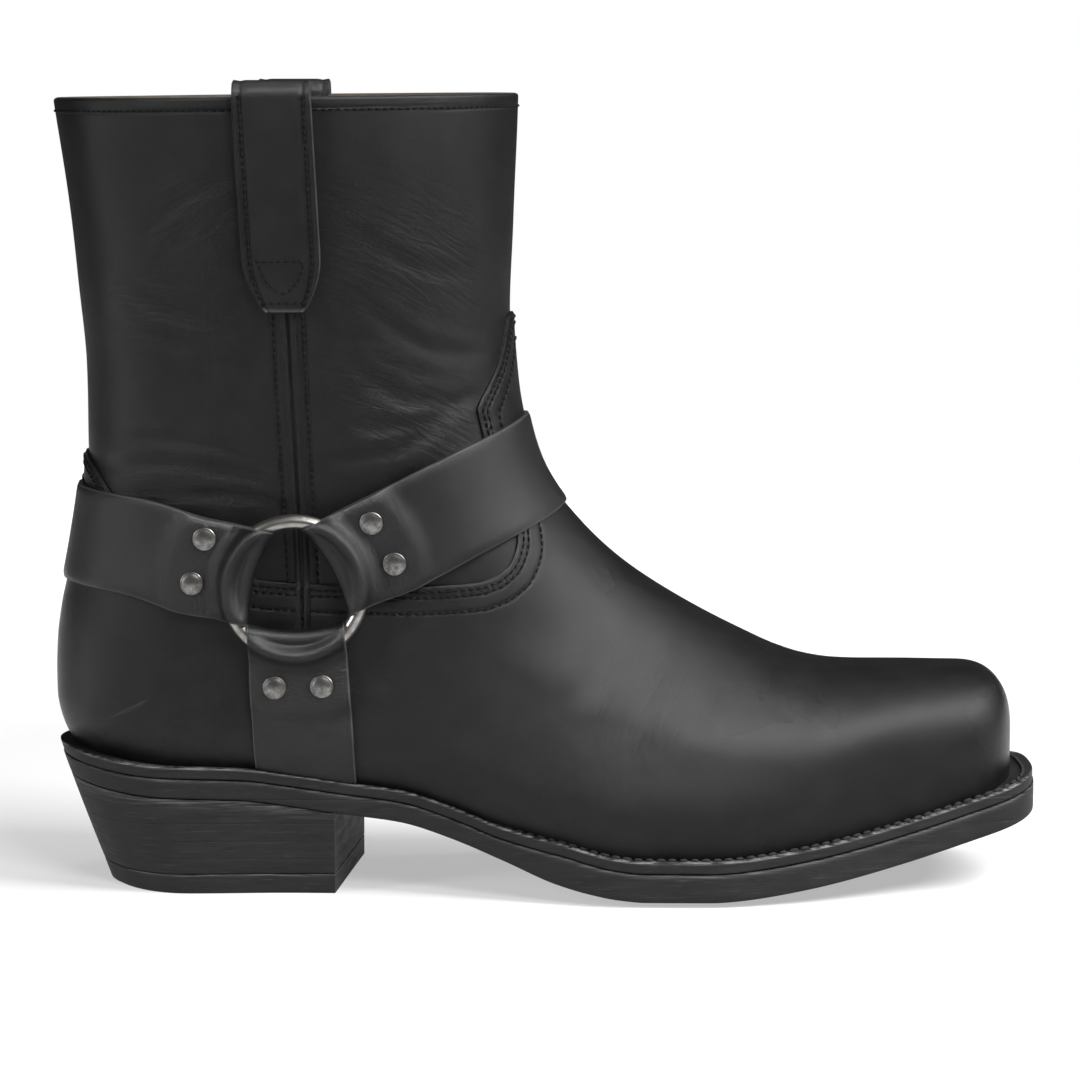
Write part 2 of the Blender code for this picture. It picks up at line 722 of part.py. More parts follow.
def add_sheet(name, grid, thickness, outwards, material, collection):
    """A sheet through rows of points, thickened outwards (1) or inwards (-1)."""
    rows, columns = len(grid), len(grid[0])
    vertices = [point for row in grid for point in row]
    faces = [
        (i * columns + j, i * columns + j + 1, (i + 1) * columns + j + 1, (i + 1) * columns + j)
        for i in range(rows - 1) for j in range(columns - 1)
    ]
    item = add_mesh(name, vertices, faces, material, collection)
    solid = item.modifiers.new("wall", "SOLIDIFY")
    solid.thickness = thickness
    solid.offset = outwards
    solid.use_even_offset = True
    solid.use_quality_normals = True
    return item


def add_ribbed(name, ribs, material, collection):
    """A solid lofted through closed ribs, with its two ends capped."""
    around = len(ribs[0])
    vertices = [point for rib in ribs for point in rib]
    faces = []
    for i in range(len(ribs) - 1):
        for j in range(around):
            k = (j + 1) % around
            faces.append((i * around + j, i * around + k, (i + 1) * around + k, (i + 1) * around + j))
    last = (len(ribs) - 1) * around
    faces.append(tuple(range(around))[::-1])
    faces.append(tuple(last + j for j in range(around)))
    return add_mesh(name, vertices, faces, material, collection)


def build_upper(collection, leather):
    """Hollow upper, open at the collar and along the foot."""
    add_sheet("upper", web_sections(), WALL, -1, leather, collection)


def insole_rib(x, back, front):
    """Cross rib of the insole, inside the upper's foot."""
    inset = float(ledge_share(along(x))) * BALL_WIDTH + WALL + INSOLE_FIT
    rib = []
    for side, raises in ((-1, (INSOLE, 0)), (1, (0, INSOLE))):
        half = float(sole_half(x, side, back, front, 0))
        width = max(half * (1 - inset / (outer_share(along(x)) * BALL_WIDTH)), THINNEST)
        for height in raises:
            rib.append((x, side * width, float(sole_top(x) + SEAT_GAP + height)))
    return rib


def build_sole(collection, leather, rubber, board):
    """Welt and outsole, cut to one outline, and the insole inside the upper."""
    back, front = HEEL_EDGE, HEEL_EDGE + LENGTH

    def welt_bottom(x):
        return sole_top(x) - WELT

    def outsole_top(x):
        return sole_top(x) - WELT - GAP

    welt_ribs = [sole_rib(x, sole_top, welt_bottom, back, front, WELT_INSET, 0)
                 for x in sole_stations(back + WELT_INSET, front - WELT_INSET, SOLE_RIBS)]
    add_ribbed("welt", welt_ribs, leather, collection)
    sole_ribs = [sole_rib(x, outsole_top, sole_bottom, back, front, 0, CROWN)
                 for x in sole_stations(back, front, SOLE_RIBS)]
    add_ribbed("outsole", sole_ribs, rubber, collection)

    inside_back = back_at(0)[0] + WALL + INSOLE_FIT
    inside_front = TOE_FRONT - WALL - INSOLE_FIT
    insole_ribs = [insole_rib(x, inside_back, inside_front)
                   for x in sole_stations(inside_back, inside_front, SOLE_RIBS)]
    add_ribbed("insole", insole_ribs, board, collection)


def build_heel(collection, leather, rubber):
    """Stacked heel block under the outsole, and the flat top lift that stands on the floor."""
    def stack_top(x):
        return sole_bottom(x) - GAP

    def lift_joint(x):
        return TOP_LIFT + GAP

    def lift_top(x):
        return TOP_LIFT

    def floor(x):
        return 0.0

    turn = np.radians(np.linspace(7, 90, 8))
    places = list(HEEL_EDGE + SOLE_HEEL_ROUND * (1 - np.cos(turn)))
    places += list(np.linspace(places[-1], BREAST, 6))[1:]
    add_ribbed("heel_stack", [heel_rib(x, stack_top, lift_joint) for x in places], leather, collection)
    add_ribbed("heel_top_lift", [heel_rib(x, lift_top, floor) for x in places], rubber, collection)


def build_rings(collection, metal):
    """One ring of round wire on each side."""
    for name, side in (("lateral", -1), ("medial", 1)):
        bpy.ops.mesh.primitive_torus_add(
            major_radius=RING_RADIUS, minor_radius=RING_WIRE / 2, major_segments=36, minor_segments=8,
            location=ring_middle(side), rotation=(math.pi / 2, 0, 0),
        )
        ring = bpy.context.object
        ring.name = "ring_" + name
        ring.data.shade_smooth()
        ring.data.materials.append(metal)
        for owner in list(ring.users_collection):
            owner.objects.unlink(ring)
        collection.objects.link(ring)


def build_straps(collection, leather):
    """Straps and pull straps. Rows are taken in the order that turns each sheet's face outwards."""
    front = strap_grid(FRONT_STRAP, FRONT_PULL, (-1, 1), True, 13)
    add_sheet("harness_front_strap", front, STRAP, 1, leather, collection)
    back = strap_grid(BACK_STRAP, BACK_PULL, (-1, 1), True, 12)
    add_sheet("harness_back_strap", back[::-1], STRAP, 1, leather, collection)
    for name, side in (("lateral", -1), ("medial", 1)):
        down = strap_grid(SIDE_STRAP, SIDE_PULL, (side,), False, 6)
        add_sheet("harness_side_strap_" + name, down[::side], STRAP, 1, leather, collection)
        loop = pull_strap_grid(side)
        add_sheet("pull_strap_" + name, loop[::side], PULL_STRAP, 1, leather, collection)


def rivet_profile(metal):
    """Profile of a low domed head, down its outer side, to be turned about its axis."""
    radius = RIVET_HEAD / 2
    profile = [
        (0, RIVET_DOME), (0.5 * radius, 0.88 * RIVET_DOME), (0.85 * radius, 0.55 * RIVET_DOME),
        (radius, 0.2 * RIVET_DOME), (radius, 0), (0, 0),
    ]
    mesh = bpy.data.meshes.new("rivet_profile")
    mesh.from_pydata([(x, 0, z) for x, z in profile], [(i, i + 1) for i in range(len(profile) - 1)], [])
    mesh.materials.append(metal)
    return mesh


def rivet_place(pull, spread, side):
    """Seat of a rivet on a folded strap, and the direction that its head faces."""
    middle = ring_middle(side)[[0, 2]]
    ahead, up = strap_axes(pull)
    out = RING_RADIUS + RING_WIRE / 2 + RIVET_OUT
    line = np.array([middle + ahead * out + up * spread * RIVET_SPREAD])
    seat = raised(line, side, STRAP_GAP + (2 + RIVET_SEAT) * STRAP + GAP)[0]
    facing = outward(raised(line, side, 0))[0]
    turned = Vector((0, 0, 1)).rotation_difference(Vector(facing)).to_matrix().to_4x4()
    return Matrix.Translation(Vector(seat)) @ turned


def build_rivets(collection, metal):
    """Two rivets through each folded strap end, next to the ring."""
    profile = rivet_profile(metal)
    for name, side in (("lateral", -1), ("medial", 1)):
        places = [(pull, spread) for pull in (BACK_PULL, FRONT_PULL, SIDE_PULL) for spread in (1, -1)]
        for number, (pull, spread) in enumerate(places, 1):
            rivet = bpy.data.objects.new(f"rivet_{name}_{number}", profile)
            turn = rivet.modifiers.new("turn", "SCREW")
            turn.steps = RIVET_STEPS
            turn.render_steps = RIVET_STEPS
            turn.use_merge_vertices = True
            turn.merge_threshold = JOIN
            rivet.matrix_world = rivet_place(pull, spread, side)
            collection.objects.link(rivet)


def main():
    """Build the whole boot in one collection."""
    clear_scene()
    collection = bpy.data.collections.new("harness_boot")
    bpy.context.scene.collection.children.link(collection)
    black_leather = make_material("black_leather", (0.018, 0.018, 0.019), 0.42, 0.0)
    strap_leather = make_material("strap_leather", (0.021, 0.021, 0.022), 0.48, 0.0)
    sole_leather = make_material("sole_leather", (0.024, 0.023, 0.023), 0.7, 0.0)
    black_rubber = make_material("black_rubber", (0.022, 0.022, 0.023), 0.75, 0.0)
    board = make_material("insole_leather", (0.08, 0.06, 0.045), 0.8, 0.0)
    nickel = make_material("antique_nickel", (0.52, 0.50, 0.47), 0.32, 1.0)
    build_upper(collection, black_leather)
    build_sole(collection, sole_leather, black_rubber, board)
    build_heel(collection, sole_leather, black_rubber)
    build_rings(collection, nickel)
    build_straps(collection, strap_leather)
    build_rivets(collection, nickel)


main()
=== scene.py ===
# %% [markdown]
# A black harness boot for the right foot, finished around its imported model.
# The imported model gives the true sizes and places. This lesson rebuilds each piece finely in the
# same frame: X from heel to toe, Y from the outer to the inner side, Z up, all in metres.

# %% Load the frame
import math

import bmesh
import bpy
import numpy as np
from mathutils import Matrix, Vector


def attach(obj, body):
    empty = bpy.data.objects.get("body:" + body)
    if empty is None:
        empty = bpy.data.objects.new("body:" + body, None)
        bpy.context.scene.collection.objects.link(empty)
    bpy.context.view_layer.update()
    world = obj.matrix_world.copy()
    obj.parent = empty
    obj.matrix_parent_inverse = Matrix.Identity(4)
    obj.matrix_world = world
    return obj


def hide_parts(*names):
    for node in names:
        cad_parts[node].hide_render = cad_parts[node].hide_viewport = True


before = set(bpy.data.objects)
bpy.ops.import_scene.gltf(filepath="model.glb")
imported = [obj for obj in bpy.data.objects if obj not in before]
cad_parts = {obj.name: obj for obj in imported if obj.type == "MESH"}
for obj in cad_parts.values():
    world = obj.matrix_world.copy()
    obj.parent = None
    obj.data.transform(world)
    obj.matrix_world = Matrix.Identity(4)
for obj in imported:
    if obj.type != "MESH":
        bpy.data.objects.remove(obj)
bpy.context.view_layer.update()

# %% [markdown]
# The form of a boot is easiest to draw in side view. A crest line runs over toe, instep and shin,
# and a back line up the heel. Between them every point has a half width, which shrinks to nothing
# on either line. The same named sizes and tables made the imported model, so the fine surfaces lie
# exactly on it. Sculpting by eye would drift away from the true sizes.

# %% Sizes of the boot
LENGTH, HEEL_EDGE, BALL_WIDTH = 0.3045, -0.0525, 0.105
HEEL_LIFT, TOE_SPRING = 0.0294, 0.0216
UPPER_HEIGHT, SHAFT_WIDTH = 0.1970, 0.104
COLLAR_FRONT, COLLAR_TILT = 0.473, 0.0015
WALL, STRAP, PULL_STRAP = 0.0024, 0.0021, 0.0026
SOLE, WAIST_SOLE, WAIST_END, WAIST_BLEND = 0.0138, 0.0096, 0.44, 0.09
CROWN, CROWN_BLEND, FLAT_SHARE = 0.0016, 0.15, 0.62
WELT, WELT_INSET, INSOLE, TOP_LIFT = 0.0034, 0.0004, 0.0030, 0.0060
GAP, SEAT_GAP, STRAP_GAP, INSOLE_FIT = 0.0003, 0.0006, 0.0008, 0.0018
TOE_LEDGE, TOE_ROUND, TOE_FOOT = 0.0084, 0.016, 0.0075
SOLE_TOE_ROUND, SOLE_HEEL_ROUND, PLAN_POWER, TUCK_HEIGHT = 0.018, 0.035, 2.8, 0.018
HEEL_RAKE, HEEL_SIDE_RAKE, BREAST, BREAST_SKEW = 0.36, 0.09, 0.0383, 0.0031
RING_ALONG, RING_HEIGHT, RING_RADIUS, RING_WIRE = 0.0768, 0.0960, 0.0203, 0.0044
FRONT_PULL, BACK_PULL, SIDE_PULL = 28.0, 164.0, -88.5
UNDERLAP, LAP_END, RIVET_OUT, RIVET_SPREAD, RIVET_HEAD = 0.0145, 0.0205, 0.0077, 0.0072, 0.0071
SIDE_STRAP_FOOT = 0.0018
PULL_ALONG, PULL_TIP_ALONG, PULL_TIP = 0.236, 0.246, 0.1425
PULL_WIDTH, PULL_INSIDE, PULL_RISE = 0.0232, 0.0450, 0.0012
SPRING_START, SPRING_POWER = 0.666, 1.58
MM = 0.001
SIDES = (("lateral", -1), ("medial", 1))
SHAFT_MIDDLE = 0.02

# Widths are shares of BALL_WIDTH, by share of the length.
PLAN = (
    # along  outer  inner  ledge  swell  ridge
    (0.00, 0.333, 0.324, 0.060, 0.050, 0.000),
    (0.12, 0.338, 0.326, 0.056, 0.056, 0.000),
    (0.25, 0.326, 0.302, 0.046, 0.062, 0.000),
    (0.36, 0.336, 0.276, 0.042, 0.062, 0.002),
    (0.48, 0.424, 0.328, 0.046, 0.048, 0.012),
    (0.58, 0.494, 0.428, 0.052, 0.034, 0.030),
    (0.66, 0.500, 0.494, 0.054, 0.028, 0.040),
    (0.76, 0.450, 0.476, 0.054, 0.022, 0.040),
    (0.86, 0.362, 0.400, 0.054, 0.016, 0.032),
    (0.94, 0.296, 0.332, 0.054, 0.010, 0.024),
    (1.00, 0.268, 0.302, 0.054, 0.010, 0.020),
)
ARCH = (
    # along  height
    (0.000, 1.160), (0.115, 1.030), (0.195, 1.000), (0.245, 0.935), (0.297, 0.857), (0.353, 0.780),
    (0.402, 0.636), (0.458, 0.422), (0.509, 0.190), (0.543, 0.085), (0.572, 0.025), (0.598, 0.000),
    (1.000, 0.000),
)
CREST = (
    # along  height  round
    (1.060, 0.158, 0.19), (0.980, 0.170, 0.19), (0.921, 0.189, 0.20), (0.875, 0.208, 0.21),
    (0.829, 0.225, 0.22), (0.798, 0.237, 0.24), (0.768, 0.253, 0.26), (0.737, 0.276, 0.28),
    (0.706, 0.304, 0.31), (0.644, 0.358, 0.35), (0.582, 0.418, 0.39), (0.551, 0.451, 0.41),
    (0.524, 0.485, 0.42), (0.506, 0.514, 0.42), (0.487, 0.562, 0.43), (0.475, 0.623, 0.46),
    (0.469, 0.678, 0.50), (0.463, 0.798, 0.55), (0.467, 0.931, 0.59), (0.472, 1.090, 0.62),
    (0.476, 1.230, 0.64),
)
BACK = (
    # along  height  round
    (0.040, -0.045, 0.28), (0.0243, -0.006, 0.30), (0.0135, 0.018, 0.32), (0.0076, 0.041, 0.33),
    (0.0036, 0.073, 0.33), (0.0033, 0.113, 0.33), (0.0046, 0.161, 0.33), (0.0095, 0.218, 0.33),
    (0.0151, 0.258, 0.33), (0.0240, 0.330, 0.34), (0.0322, 0.410, 0.36), (0.0355, 0.460, 0.38),
    (0.0358, 0.520, 0.41), (0.0346, 0.597, 0.45), (0.0260, 0.737, 0.50), (0.0174, 0.873, 0.55),
    (0.0066, 1.000, 0.58), (-0.0020, 1.100, 0.60),
)
SHAFT = (
    # height  half width
    (0.00, 0.346), (0.28, 0.346), (0.35, 0.351), (0.42, 0.365), (0.50, 0.387), (0.60, 0.415),
    (0.70, 0.442), (0.80, 0.466), (0.90, 0.486), (1.00, 0.500), (1.20, 0.520),
)
WEB = (
    # place  base  crest
    (0, 0.000, 0.000), (4, 0.050, 0.114), (7, 0.128, 0.227), (13, 0.396, 0.497), (16, 0.573, 0.580),
    (20, 0.769, 0.640), (24, 0.947, 0.680), (27, 1.000, 0.700), (30, 1.105, 0.733), (33, 1.265, 0.792),
    (36, 1.460, 0.857), (39, 1.720, 0.930), (41, 2.000, 1.000),
)
# Edges of the harness straps: upper edge along and height, lower edge along and height. Heights are
# shares of UPPER_HEIGHT above the floor: beside the rivets, half way and at the end.
FRONT_STRAP = ((0.314, 0.621, 0.360, 0.478), (0.392, 0.680, 0.441, 0.541), (0.474, 0.735, 0.524, 0.597))
BACK_STRAP = ((0.171, 0.592, 0.145, 0.445), (0.100, 0.621, 0.077, 0.474), (0.032, 0.628, 0.015, 0.480))
SIDE_STRAP = ((0.206, 0.338, 0.305, 0.338), (0.208, 0.270, 0.308, 0.270), (0.210, 0.200, 0.311, 0.190))


# %% Curves through tables
def smooth_curve(xs, ys):
    """Cubic through points without overshoot."""
    xs, ys = np.asarray(xs, float), np.asarray(ys, float)
    if xs[0] > xs[-1]:
        xs, ys = xs[::-1], ys[::-1]
    steps = np.diff(xs)
    slopes = np.diff(ys) / steps
    tangents = np.zeros(len(xs))
    tangents[0], tangents[-1] = slopes[0], slopes[-1]
    for i in range(1, len(xs) - 1):
        before, after = slopes[i - 1], slopes[i]
        if before * after > 0:
            w1, w2 = 2 * steps[i] + steps[i - 1], steps[i] + 2 * steps[i - 1]
            tangents[i] = (w1 + w2) / (w1 / before + w2 / after)

    def value(x):
        x = np.clip(x, xs[0], xs[-1])
        i = np.clip(np.searchsorted(xs, x) - 1, 0, len(xs) - 2)
        t = (x - xs[i]) / steps[i]
        rise = ys[i] * (2 * t**3 - 3 * t**2 + 1) + ys[i + 1] * (3 * t**2 - 2 * t**3)
        return rise + steps[i] * (tangents[i] * (t**3 - 2 * t**2 + t) + tangents[i + 1] * (t**3 - t**2))

    return value


def column(rows, k):
    return smooth_curve([row[0] for row in rows], [row[k] for row in rows])


def smooth_line(rows, count):
    """Evenly spaced points along a smooth line through rows of any columns."""
    rows = np.array(rows, float)
    along_rows = np.concatenate([[0], np.cumsum(np.hypot(*np.diff(rows[:, :2], axis=0).T))])
    even = np.linspace(0, along_rows[-1], count)
    return np.stack([smooth_curve(along_rows, rows[:, k])(even) for k in range(rows.shape[1])], axis=1)


def ease(t):
    t = np.clip(t, 0, 1)
    return t * t * (3 - 2 * t)


def mix(a, b, t):
    return a + (b - a) * t


def resample(points, count):
    """The same line with evenly spaced points."""
    run = np.concatenate([[0], np.cumsum(np.linalg.norm(np.diff(points, axis=0), axis=1))])
    even = np.linspace(0, run[-1], count)
    return np.stack([np.interp(even, run, points[:, k]) for k in range(points.shape[1])], axis=1)


arch_share, shaft_share = column(ARCH, 1), column(SHAFT, 1)
outer_share, inner_share, ledge_share, swell_share, ridge_share = (column(PLAN, k) for k in range(1, 6))
print("tables", len(PLAN), len(CREST), len(BACK))

# %% [markdown]
# The form is a height field over the side view. Each side-view point asks how deep it lies behind
# the crest, the back line and the toe, and that depth decides its share of the half width. It has
# one surface point a side everywhere, so later steps can ask it for any place.


# %% The sole's levels
def along(x):
    return (x - HEEL_EDGE) / LENGTH


def sole_bottom(x):
    spring = np.clip((along(x) - SPRING_START) / (1 - SPRING_START), 0, None)
    return HEEL_LIFT * arch_share(along(x)) + TOE_SPRING * spring**SPRING_POWER


def sole_top(x):
    return sole_bottom(x) + mix(WAIST_SOLE, SOLE, ease((along(x) - WAIST_END) / WAIST_BLEND))


print("sole under the heel at", round(float(sole_bottom(0.0)), 4))


# %% The side view's outline
def side_line(rows):
    """A side-view line as x, z and depth of rounding."""
    lined = []
    for share, height, depth in rows:
        x = HEEL_EDGE + share * LENGTH
        lined.append((x, sole_top(x) + height * UPPER_HEIGHT, depth * BALL_WIDTH))
    return smooth_line(lined, 90)


CREST_LINE, BACK_LINE = side_line(CREST), side_line(BACK)
TOE_FRONT = HEEL_EDGE + LENGTH - TOE_LEDGE


def depth_from(x, z, line, inside):
    """How deep side-view points lie behind a line, as a share of the line's rounding there."""
    shape = np.shape(x)
    points = np.stack([np.ravel(x), np.ravel(z)], axis=1)
    start, span = line[:-1, :2], np.diff(line[:, :2], axis=0)
    depth = np.empty(len(points))
    for low in range(0, len(points), 20000):
        point = points[low:low + 20000, None, :] - start[None]
        t = np.clip((point * span).sum(axis=2) / (span**2).sum(axis=1), 0, 1)
        away = point - t[:, :, None] * span
        distance = np.hypot(away[..., 0], away[..., 1])
        near = distance.argmin(axis=1)
        row = np.arange(len(near))
        side = span[near, 0] * point[row, near, 1] - span[near, 1] * point[row, near, 0]
        share = t[row, near]
        rounding = line[near, 2] * (1 - share) + line[near + 1, 2] * share
        depth[low:low + 20000] = np.sign(side) * inside * distance[row, near] / rounding
    return depth.reshape(shape)


print("crest points", len(CREST_LINE), "back points", len(BACK_LINE))


# %% Widths over the side view
def roundness(x):
    return mix(2.0, 2.6, ease((along(x) - 0.62) / 0.26))


def edge_rise(x, z):
    """0 deep inside the side view, 1 on its outline."""
    power = roundness(x)
    crest = np.clip(1 - depth_from(x, z, CREST_LINE, 1), 0, None)
    back = np.clip(1 - depth_from(x, z, BACK_LINE, -1), 0, None)
    front = np.clip(1 - (TOE_FRONT - x) / TOE_ROUND, 0, None)
    return crest**power + back**power + front**power


def ridge_line(x, z):
    height = (z - sole_top(x)) / UPPER_HEIGHT
    return ridge_share(along(x)) * BALL_WIDTH * (1 - ease((height - 0.45) / 0.3))


def half_widths(x, z):
    height = (z - sole_top(x)) / UPPER_HEIGHT
    tuck = (1 - np.clip((z - sole_top(x)) / TUCK_HEIGHT, 0, 1))**2
    shaft = shaft_share(np.clip(height, 0, 1.2)) * SHAFT_WIDTH
    widths = []
    for share, sign in ((outer_share, 1), (inner_share, -1)):
        plan = share(along(x)) - ledge_share(along(x)) + swell_share(along(x)) * (1 - tuck)
        foot = plan * BALL_WIDTH
        foot = foot - ease((height - 0.03) / 0.32) * np.clip(foot - shaft, 0, None)
        widths.append(mix(foot, shaft, ease((height - 0.25) / 0.25)) + sign * ridge_line(x, z))
    return widths


def form_y(x, z, side):
    """Y of the upper's outer surface at side-view points; side is -1 outer, +1 inner."""
    width = half_widths(x, z)[0 if side < 0 else 1]
    return ridge_line(x, z) + side * width * np.clip(1 - edge_rise(x, z), 0, None)**(1 / roundness(x))


print("half widths at the ball", [round(float(width), 4) for width in half_widths(0.14, 0.04)])


# %% Places and normals on the form
def form_value(points):
    x, y, z = points.T
    outer, inner = half_widths(x, z)
    offset = y - ridge_line(x, z)
    return np.abs(offset / np.where(offset < 0, outer, inner))**roundness(x) + edge_rise(x, z)


def outward(points):
    """Unit normals of the form."""
    slope = np.zeros_like(points)
    for axis in range(3):
        shift = np.zeros(3)
        shift[axis] = 0.0004
        slope[:, axis] = form_value(points + shift) - form_value(points - shift)
    return slope / np.linalg.norm(slope, axis=1)[:, None]


def on_form(line, side):
    """Points of the form over a side-view line, and their normals."""
    line = np.asarray(line, float)
    points = np.stack([line[:, 0], form_y(line[:, 0], line[:, 1], side), line[:, 1]], axis=1)
    return points, outward(points)


def raised(line, side, height):
    points, normals = on_form(line, side)
    return points + normals * np.reshape(height, (-1, 1))


def back_at(height):
    heights = (BACK_LINE[:, 1] - sole_top(BACK_LINE[:, 0]) - SEAT_GAP) / UPPER_HEIGHT
    return np.stack([np.interp(height, heights, BACK_LINE[:, k]) for k in (0, 1)], axis=-1)


def collar_height(x):
    back = back_at(1.0)
    return back[1] + COLLAR_TILT * (x - back[0]) / (HEEL_EDGE + COLLAR_FRONT * LENGTH - back[0])


print("collar at", round(float(collar_height(SHAFT_MIDDLE)), 4), "sole at", round(float(sole_top(0.0)), 4))

# %% [markdown]
# A real upper is cut from flat leather, and pulled over the last. Here it is lofted: cross
# sections run from the foot of the upper to the crest line, and each is spread evenly by its true
# length, so that the small faces have the same size everywhere and folds show well.


# %% Cross sections of the upper
def reach(starts, aims):
    """Where rays leave the side view's outline."""
    inside, outside = np.full(len(starts), 0.25), np.full(len(starts), 1.6)
    for _ in range(32):
        middle = (inside + outside) / 2
        point = starts + (aims - starts) * middle[:, None]
        within = edge_rise(point[:, 0], point[:, 1]) < 1
        inside, outside = np.where(within, middle, inside), np.where(within, outside, middle)
    return starts + (aims - starts) * inside[:, None]


def collar_share():
    front_x = HEEL_EDGE + COLLAR_FRONT * LENGTH
    return (back_at(1.0)[1] + COLLAR_TILT - sole_top(front_x)) / UPPER_HEIGHT


def crest_guide():
    line = CREST_LINE[:, :2]
    heights = (line[:, 1] - sole_top(line[:, 0])) / UPPER_HEIGHT
    top = line[(line[:, 0] < TOE_FRONT - TOE_ROUND) & (heights < collar_share())]
    half = len(heights) // 2
    end_x = np.interp(collar_share(), heights[half:], line[half:, 0])
    foot = np.array([[TOE_FRONT, sole_top(TOE_FRONT) + SEAT_GAP], [TOE_FRONT, top[0, 1] - TOE_ROUND]])
    end = np.array([[end_x, sole_top(end_x) + collar_share() * UPPER_HEIGHT]])
    return resample(np.concatenate([foot, top, end]), 600)


print("collar's share of the height", round(float(collar_share()), 3))


# %% The upper's grid
def upper_grid(rows, half):
    """Points of the upper, row by row from the toe's foot to the collar, outer to inner side."""
    place = np.linspace(0, WEB[-1][0], rows)
    base, crest = column(WEB, 1)(place), column(WEB, 2)(place)
    heel = back_at(0.0)
    foot_x = mix(TOE_FRONT - TOE_FOOT, heel[0], np.clip(base, 0, 1))
    foot = np.stack([foot_x, sole_top(foot_x) + SEAT_GAP], axis=1)
    starts = np.where((base <= 1)[:, None], foot, back_at(np.clip(base - 1, 0, None)))
    guide = crest_guide()
    at = crest * (len(guide) - 1)
    aims = np.stack([np.interp(at, np.arange(len(guide)), guide[:, k]) for k in (0, 1)], axis=1)
    ends = reach(starts, aims)
    share = (1 - np.cos(np.linspace(0, math.pi, 300))) / 2
    x = mix(starts[:, :1], ends[:, :1], share)
    z = mix(starts[:, 1:], ends[:, 1:], share)
    halves = []
    for side in (-1, 1):
        y = form_y(x, z, side)
        y[:, -1] = ridge_line(x[:, -1], z[:, -1])
        lines = np.stack([x, y, z], axis=2)
        halves.append(np.array([resample(line, half + 1) for line in lines]))
    return np.concatenate([halves[0], halves[1][:, -2::-1]], axis=1)


def grid_normals(grid):
    """Unit normals of a grid of points, outwards."""
    down, across = np.gradient(grid, axis=0), np.gradient(grid, axis=1)
    normal = np.cross(across, down)
    normal /= np.maximum(np.linalg.norm(normal, axis=2, keepdims=True), 1e-12)
    middle = np.array([0.09, 0, 0])
    return -normal if (normal * (grid - middle))[:, :, 1].sum() < 0 else normal


ROWS, HALF = 301, 104
form_grid = upper_grid(ROWS, HALF)
form_normal = grid_normals(form_grid)
print("upper grid", form_grid.shape)

# %% [markdown]
# Leather that has been lasted and worn carries folds. Each fold is a soft trough with a ridge on
# either side, drawn in side view by its two ends and a bow. They are placed where the shaft bends
# above the straps, beside the pull strap and over the instep. A noise texture alone would put them
# anywhere.

# %% Folds, one by one
FOLDS = (
    # side  from: along height  to: along height   bow   width  depth (the last three in mm)
    (-1, 0.108, 1.020, 0.215, 1.128, 3.0, 4.2, 0.42),
    (-1, 0.118, 0.985, 0.222, 1.075, 3.0, 3.6, 0.34),
    (-1, 0.070, 0.950, 0.205, 0.905, -4.0, 4.6, 0.38),
    (-1, 0.060, 0.905, 0.215, 0.862, -4.0, 4.2, 0.34),
    (-1, 0.050, 0.660, 0.235, 0.640, 5.0, 4.4, 0.80),
    (-1, 0.075, 0.700, 0.240, 0.668, 5.0, 5.0, 0.50),
    (-1, 0.120, 0.622, 0.250, 0.606, 3.0, 3.2, 0.70),
    (-1, 0.270, 0.690, 0.400, 0.735, -4.0, 4.6, 0.60),
    (-1, 0.290, 0.760, 0.420, 0.770, -7.0, 5.0, 0.52),
    (-1, 0.300, 0.860, 0.440, 0.780, -9.0, 5.0, 0.46),
    (-1, 0.310, 0.960, 0.450, 0.840, -8.0, 5.0, 0.40),
    (-1, 0.300, 1.060, 0.445, 0.960, -6.0, 5.0, 0.30),
    (-1, 0.560, 0.420, 0.520, 0.300, 4.0, 6.0, 0.34),
    (-1, 0.610, 0.395, 0.570, 0.260, 4.0, 6.5, 0.30),
    (-1, 0.660, 0.350, 0.630, 0.240, 3.0, 6.0, 0.22),
    (1, 0.060, 0.690, 0.235, 0.650, 5.0, 5.0, 0.70),
    (1, 0.070, 0.950, 0.215, 0.985, 4.0, 5.0, 0.40),
    (1, 0.270, 0.680, 0.410, 0.745, -5.0, 5.0, 0.60),
    (1, 0.290, 0.800, 0.430, 0.775, -7.0, 5.0, 0.50),
    (1, 0.300, 0.930, 0.450, 0.850, -8.0, 5.0, 0.40),
    (1, 0.290, 1.080, 0.440, 0.990, -6.0, 5.0, 0.30),
    (1, 0.590, 0.410, 0.540, 0.280, 4.0, 6.5, 0.34),
    (1, 0.650, 0.350, 0.620, 0.240, 3.0, 6.0, 0.26),
)


print("folds drawn", len(FOLDS))


# %% The height of the folds
def place(share, height):
    """Side-view point from shares of the length and of the upper's height above the floor."""
    return np.array([HEEL_EDGE + share * LENGTH, height * UPPER_HEIGHT])


def line_distance(x, z, line):
    """Distance of side-view points to a line, its sign, and the share along the line."""
    start, span = line[:-1], np.diff(line, axis=0)
    best = np.full(np.shape(x), 1e9)
    sign, run = np.zeros(np.shape(x)), np.zeros(np.shape(x))
    for i in range(len(span)):
        dx, dz = x - start[i, 0], z - start[i, 1]
        t = np.clip((dx * span[i, 0] + dz * span[i, 1]) / (span[i] @ span[i]), 0, 1)
        away = np.hypot(dx - t * span[i, 0], dz - t * span[i, 1])
        closer = away < best
        best = np.where(closer, away, best)
        sign = np.where(closer, np.sign(span[i, 0] * dz - span[i, 1] * dx), sign)
        run = np.where(closer, (i + t) / len(span), run)
    return best, sign, run


